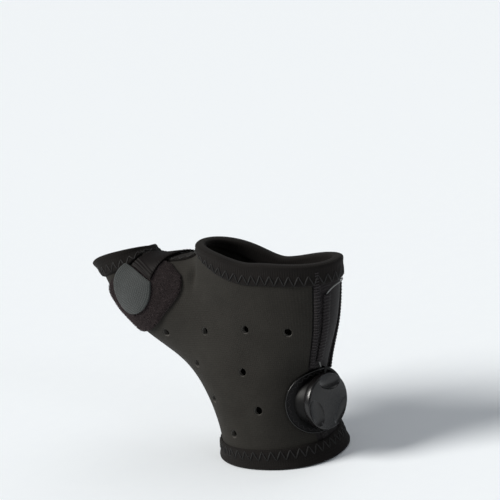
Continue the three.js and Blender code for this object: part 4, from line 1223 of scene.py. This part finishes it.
def makeLace(form):
    lift = openingForm["gap"] - openingForm["sink"] + openingForm["tunnelHeight"] / 2

    def raised(p):
        return p + normalsAt(p) * lift

    def nearFlange(angle):
        spoke = math.cos(math.radians(angle)) * dialSide + math.sin(math.radians(angle)) * dialUp
        return raised(walk(dialFoot[None], spoke[None], [dialForm["flange"] / 2 + 0.6])[0][0])

    top = openingForm["tunnelTo"]
    up, down = (np.linspace(openingForm["tunnelFrom"][side], top, 9) for side in ("Dorsal", "Palmar"))
    points = np.concatenate([
        nearFlange(form["upEnd"]),
        raised(palmPoints(np.full(9, dorsalAngle), up)),
        *(raised(palmPoints(np.array([angle]), top + rise)) for angle, rise in form["over"]),
        raised(palmPoints(np.full(9, openingForm["palmarAngle"]), down[::-1])),
        nearFlange(form["downEnd"]),
    ])
    knots = np.concatenate([[0], np.cumsum(np.sqrt(np.linalg.norm(np.diff(points, axis=0), axis=1)))])
    table = dict(at=knots, x=points[:, 0], y=points[:, 1], z=points[:, 2])
    at = np.linspace(0, knots[-1], form["stations"])
    path = np.stack([sampleRows(table, axis, at) for axis in "xyz"], 1)
    way = unit(np.gradient(path, axis=0))
    side = unit(np.cross(way, normalsAt(path)))
    n = np.cross(side, way)
    angles = np.linspace(0, 2 * math.pi, form["sides"] + 1)[:-1]
    r = form["diameter"] / 2
    tube = np.stack([path + side * (r * math.cos(a)) + n * (r * math.sin(a)) for a in angles])
    lace = openTube("laceCord", tube)
    lace.data.materials[0] = braidedCord
    place(lace, "brace", "lace_cord", "lace")


makeLace(laceForm)


# Thumb closure: a brushed loop patch, and on it a satin strap that ends in a round tab of hook tape.

closureForm = dict(
    along=0.832, skew=13.0, patchLength=46.0, patchReach=27.0, patchWidth=36.0, patchLow=0.12, patchHigh=1.5,
    patchRows=60, patchColumns=40, fibres=16000, fibreLength=0.7, fibreRadius=0.1, seed=11,
    tabRadius=12.3, tabSet=6.0, tabOffset=-3.5, tabCut=7.2, tabLow=1.9, tabHigh=2.9, cutSlant=-0.21,
    strapFrom=12.6, strapLength=29.0, strapWidth=16.0, strapOffset=-4.0, strapRise=0.2, strapHigh=2.85,
    slantEnds=14.0, ridges=(13.5, 14.7, 15.9), ridge=0.22, ridgeWidth=0.28, selvedge=0.16, selvedgePitch=1.4,
)
patchRows = dict(
    at=(0.0, 0.12, 0.25, 0.4, 0.52, 0.65, 0.78, 0.86, 0.94, 1.0),
    low=(-0.25, -0.417, -0.57, -0.667, -0.694, -0.722, -0.75, -0.75, -0.717, -0.64),
    high=(0.25, 0.32, 0.333, 0.3, 0.21, 0.14, 0.12, -0.02, -0.2, -0.36),
)


def closureLine(form, distances):  # stations along the strap's line from the tab's middle, towards the web
    centre = thumbCentre(form["along"] * handForm["thumbLength"])
    middle = cast(centre[None], thumbFront[None])
    skew = math.radians(form["skew"])
    heading = (thumbAxis * math.sin(skew) - thumbOut * math.cos(skew))[None]
    behind = walk(middle, -heading, [-d for d in distances if d < 0][::-1])[::-1]
    ahead = walk(middle, heading, [d for d in distances if d >= 0])
    points = np.concatenate([p for p, _ in behind + ahead])
    return points, np.concatenate([-way for _, way in behind] + [way for _, way in ahead])


def makePatch(form):
    at = np.linspace(0, 1, form["patchRows"] + 1)
    points, ways = closureLine(form, form["patchReach"] + (at - 1) * form["patchLength"])
    low, high = (sampleRows(patchRows, name, at) * form["patchWidth"] for name in ("low", "high"))
    net = laidNet(points, ways, low, high, form["patchColumns"], -1)
    face = padOf(net.shape[:2], form["patchLow"], form["patchHigh"], 0.5)
    piece = sheetPiece("loopPatch", net, form["patchLow"], face, loopPile)
    place(piece, "brace", "loop_pile", "loop_patch")
    return piece


def fibreTree():  # scatters short leaning fibres over a mesh's outer face
    sizes = {"Density": "Float", "Fibre Length": "Float", "Fibre Radius": "Float"}
    sizes.update({"Seed": "Int", "Pile": "Material"})
    tree, given = startTree("scatteredFibres", sizes)
    scattered = addNode(
        tree, "GeometryNodeDistributePointsOnFaces",
        {"Mesh": given["Geometry"], "Density": given["Density"], "Seed": given["Seed"]},
    ).outputs
    lean = addNode(
        tree, "FunctionNodeRandomValue", {0: (-0.7, -0.7, -0.7), 1: (0.7, 0.7, 0.7), "Seed": given["Seed"]},
        data_type="FLOAT_VECTOR",
    )
    leaning = addNode(
        tree, "ShaderNodeVectorMath", {0: scattered["Normal"], 1: lean.outputs[0]}, operation="ADD"
    )
    turned = addNode(tree, "FunctionNodeAlignRotationToVector", {"Vector": leaning.outputs[0]}, axis="Z")
    radius, length = given["Fibre Radius"], given["Fibre Length"]
    fibre = addNode(
        tree, "GeometryNodeMeshCone",
        {"Vertices": 3, "Radius Top": 0.0, "Radius Bottom": radius, "Depth": length}, fill_type="NONE",
    )
    size = addNode(
        tree, "FunctionNodeRandomValue", {2: 0.5, 3: 1.2, "Seed": given["Seed"]}, data_type="FLOAT"
    )
    laid = addNode(
        tree, "GeometryNodeInstanceOnPoints",
        {"Points": scattered["Points"], "Instance": fibre.outputs["Mesh"], "Rotation": turned.outputs[0],
         "Scale": size.outputs[1]},
    )
    return endTree(tree, laid.outputs[0], given["Pile"])


def makePile(form, patch):
    mesh = bpy.data.meshes.new("pileBase")  # the patch's face alone
    vertices = [v.co.copy() for v in patch.data.vertices]
    faces = [tuple(f.vertices) for f in list(patch.data.polygons)[: form["patchRows"] * form["patchColumns"]]]
    mesh.from_pydata(vertices, [], faces)
    base = addObject("pileBase", mesh)
    modifier = base.modifiers.new("pile", "NODES")
    modifier.node_group = fibreTree()
    density = form["fibres"] / sum(f.area for f in mesh.polygons)
    setInputs(
        modifier, Density=density, FibreLength=form["fibreLength"] * 0.001,
        FibreRadius=form["fibreRadius"] * 0.001, Seed=form["seed"], Pile=pileFibre,
    )
    place(plainMesh(base, "loopPile"), "brace", "loop_pile")


def slanted(net, distances, shifts):  # moves each point along its column of the net by shifts mm
    rows = np.arange(len(distances))
    at = np.interp(distances[:, None] + shifts, distances, rows)
    low = np.minimum(at.astype(int), len(rows) - 2)
    k = np.arange(net.shape[1])[None, :]
    return settle(net[low, k] + (net[low + 1, k] - net[low, k]) * (at - low)[..., None], 2)


def makeTab(form):  # a disc cut straight where the strap begins
    alongStep, besideStep = 0.7, 0.75
    around, beside = np.arange(-9.0, 19.1, alongStep), np.arange(-18.0, 12.1, besideStep)
    points, ways = closureLine(form, around)
    low, high = np.full(len(around), beside[0]), np.full(len(around), beside[-1])
    ground = laidNet(points, ways, low, high, len(beside) - 1, -1)
    slope = math.atan(-form["cutSlant"])
    u = -form["tabRadius"] * np.cos(np.linspace(0.02, math.acos(-form["tabCut"] / form["tabRadius"]), 45))
    v = np.sqrt(form["tabRadius"] ** 2 - u**2)[:, None] * np.linspace(-1, 1, 33)[None, :]
    x = form["tabSet"] + u[:, None] * math.cos(slope) - v * math.sin(slope)
    y = form["tabOffset"] + u[:, None] * math.sin(slope) + v * math.cos(slope)
    net = settle(blendNet(ground, (x - around[0]) / alongStep, (y - beside[0]) / besideStep), 2)
    face = padOf(net.shape[:2], form["tabLow"], form["tabHigh"], 0.3)
    piece = sheetPiece("hookTab", net, form["tabLow"] - 0.1, face, hookWeave)
    place(piece, "brace", "hook_cloth", "hook_tab")


def blendNet(net, i, j):  # the net's points at fractional rows i and columns j
    low, left = np.floor(i).astype(int), np.floor(j).astype(int)
    s, t = (i - low)[..., None], (j - left)[..., None]
    near = net[low, left] * (1 - t) + net[low, left + 1] * t
    far = net[low + 1, left] * (1 - t) + net[low + 1, left + 1] * t
    return near * (1 - s) + far * s


def makeStrap(form):
    distances = form["strapFrom"] + np.linspace(0, form["strapLength"], 141)
    points, ways = closureLine(form, distances)
    half = np.full(len(distances), form["strapWidth"] / 2)
    middle = form["strapOffset"] + form["strapRise"] * (distances - form["strapFrom"])
    net = laidNet(points, ways, middle - half, middle + half, 26, -1)
    beside = np.linspace(-1, 1, 27)[None, :] * form["strapWidth"] / 2
    ease = 1 - smoothStep(distances, form["strapFrom"], form["strapFrom"] + form["slantEnds"])
    net = slanted(net, distances, form["cutSlant"] * (beside - form["strapWidth"] / 2) * ease[:, None])
    high = padOf(net.shape[:2], form["tabLow"], form["strapHigh"], 0.35)
    for ridge in form["ridges"]:
        high = high + form["ridge"] * np.exp(-(((distances - ridge) / form["ridgeWidth"]) ** 2))[:, None]
    across = np.linspace(0, 1, 27)
    rib = 0.5 + 0.5 * np.sin(2 * math.pi * distances / form["selvedgePitch"])
    high = high + form["selvedge"] * rib[:, None] * (smoothStep(np.abs(across - 0.5), 0.4, 0.47))[None, :]
    piece = sheetPiece("thumbStrap", net, form["tabLow"] - 0.1, high, satinWebbing)
    place(piece, "brace", "satin_webbing", "thumb_strap")


patch = makePatch(closureForm)
makePile(closureForm, patch)
makeTab(closureForm)
makeStrap(closureForm)
print("thumb closure made")
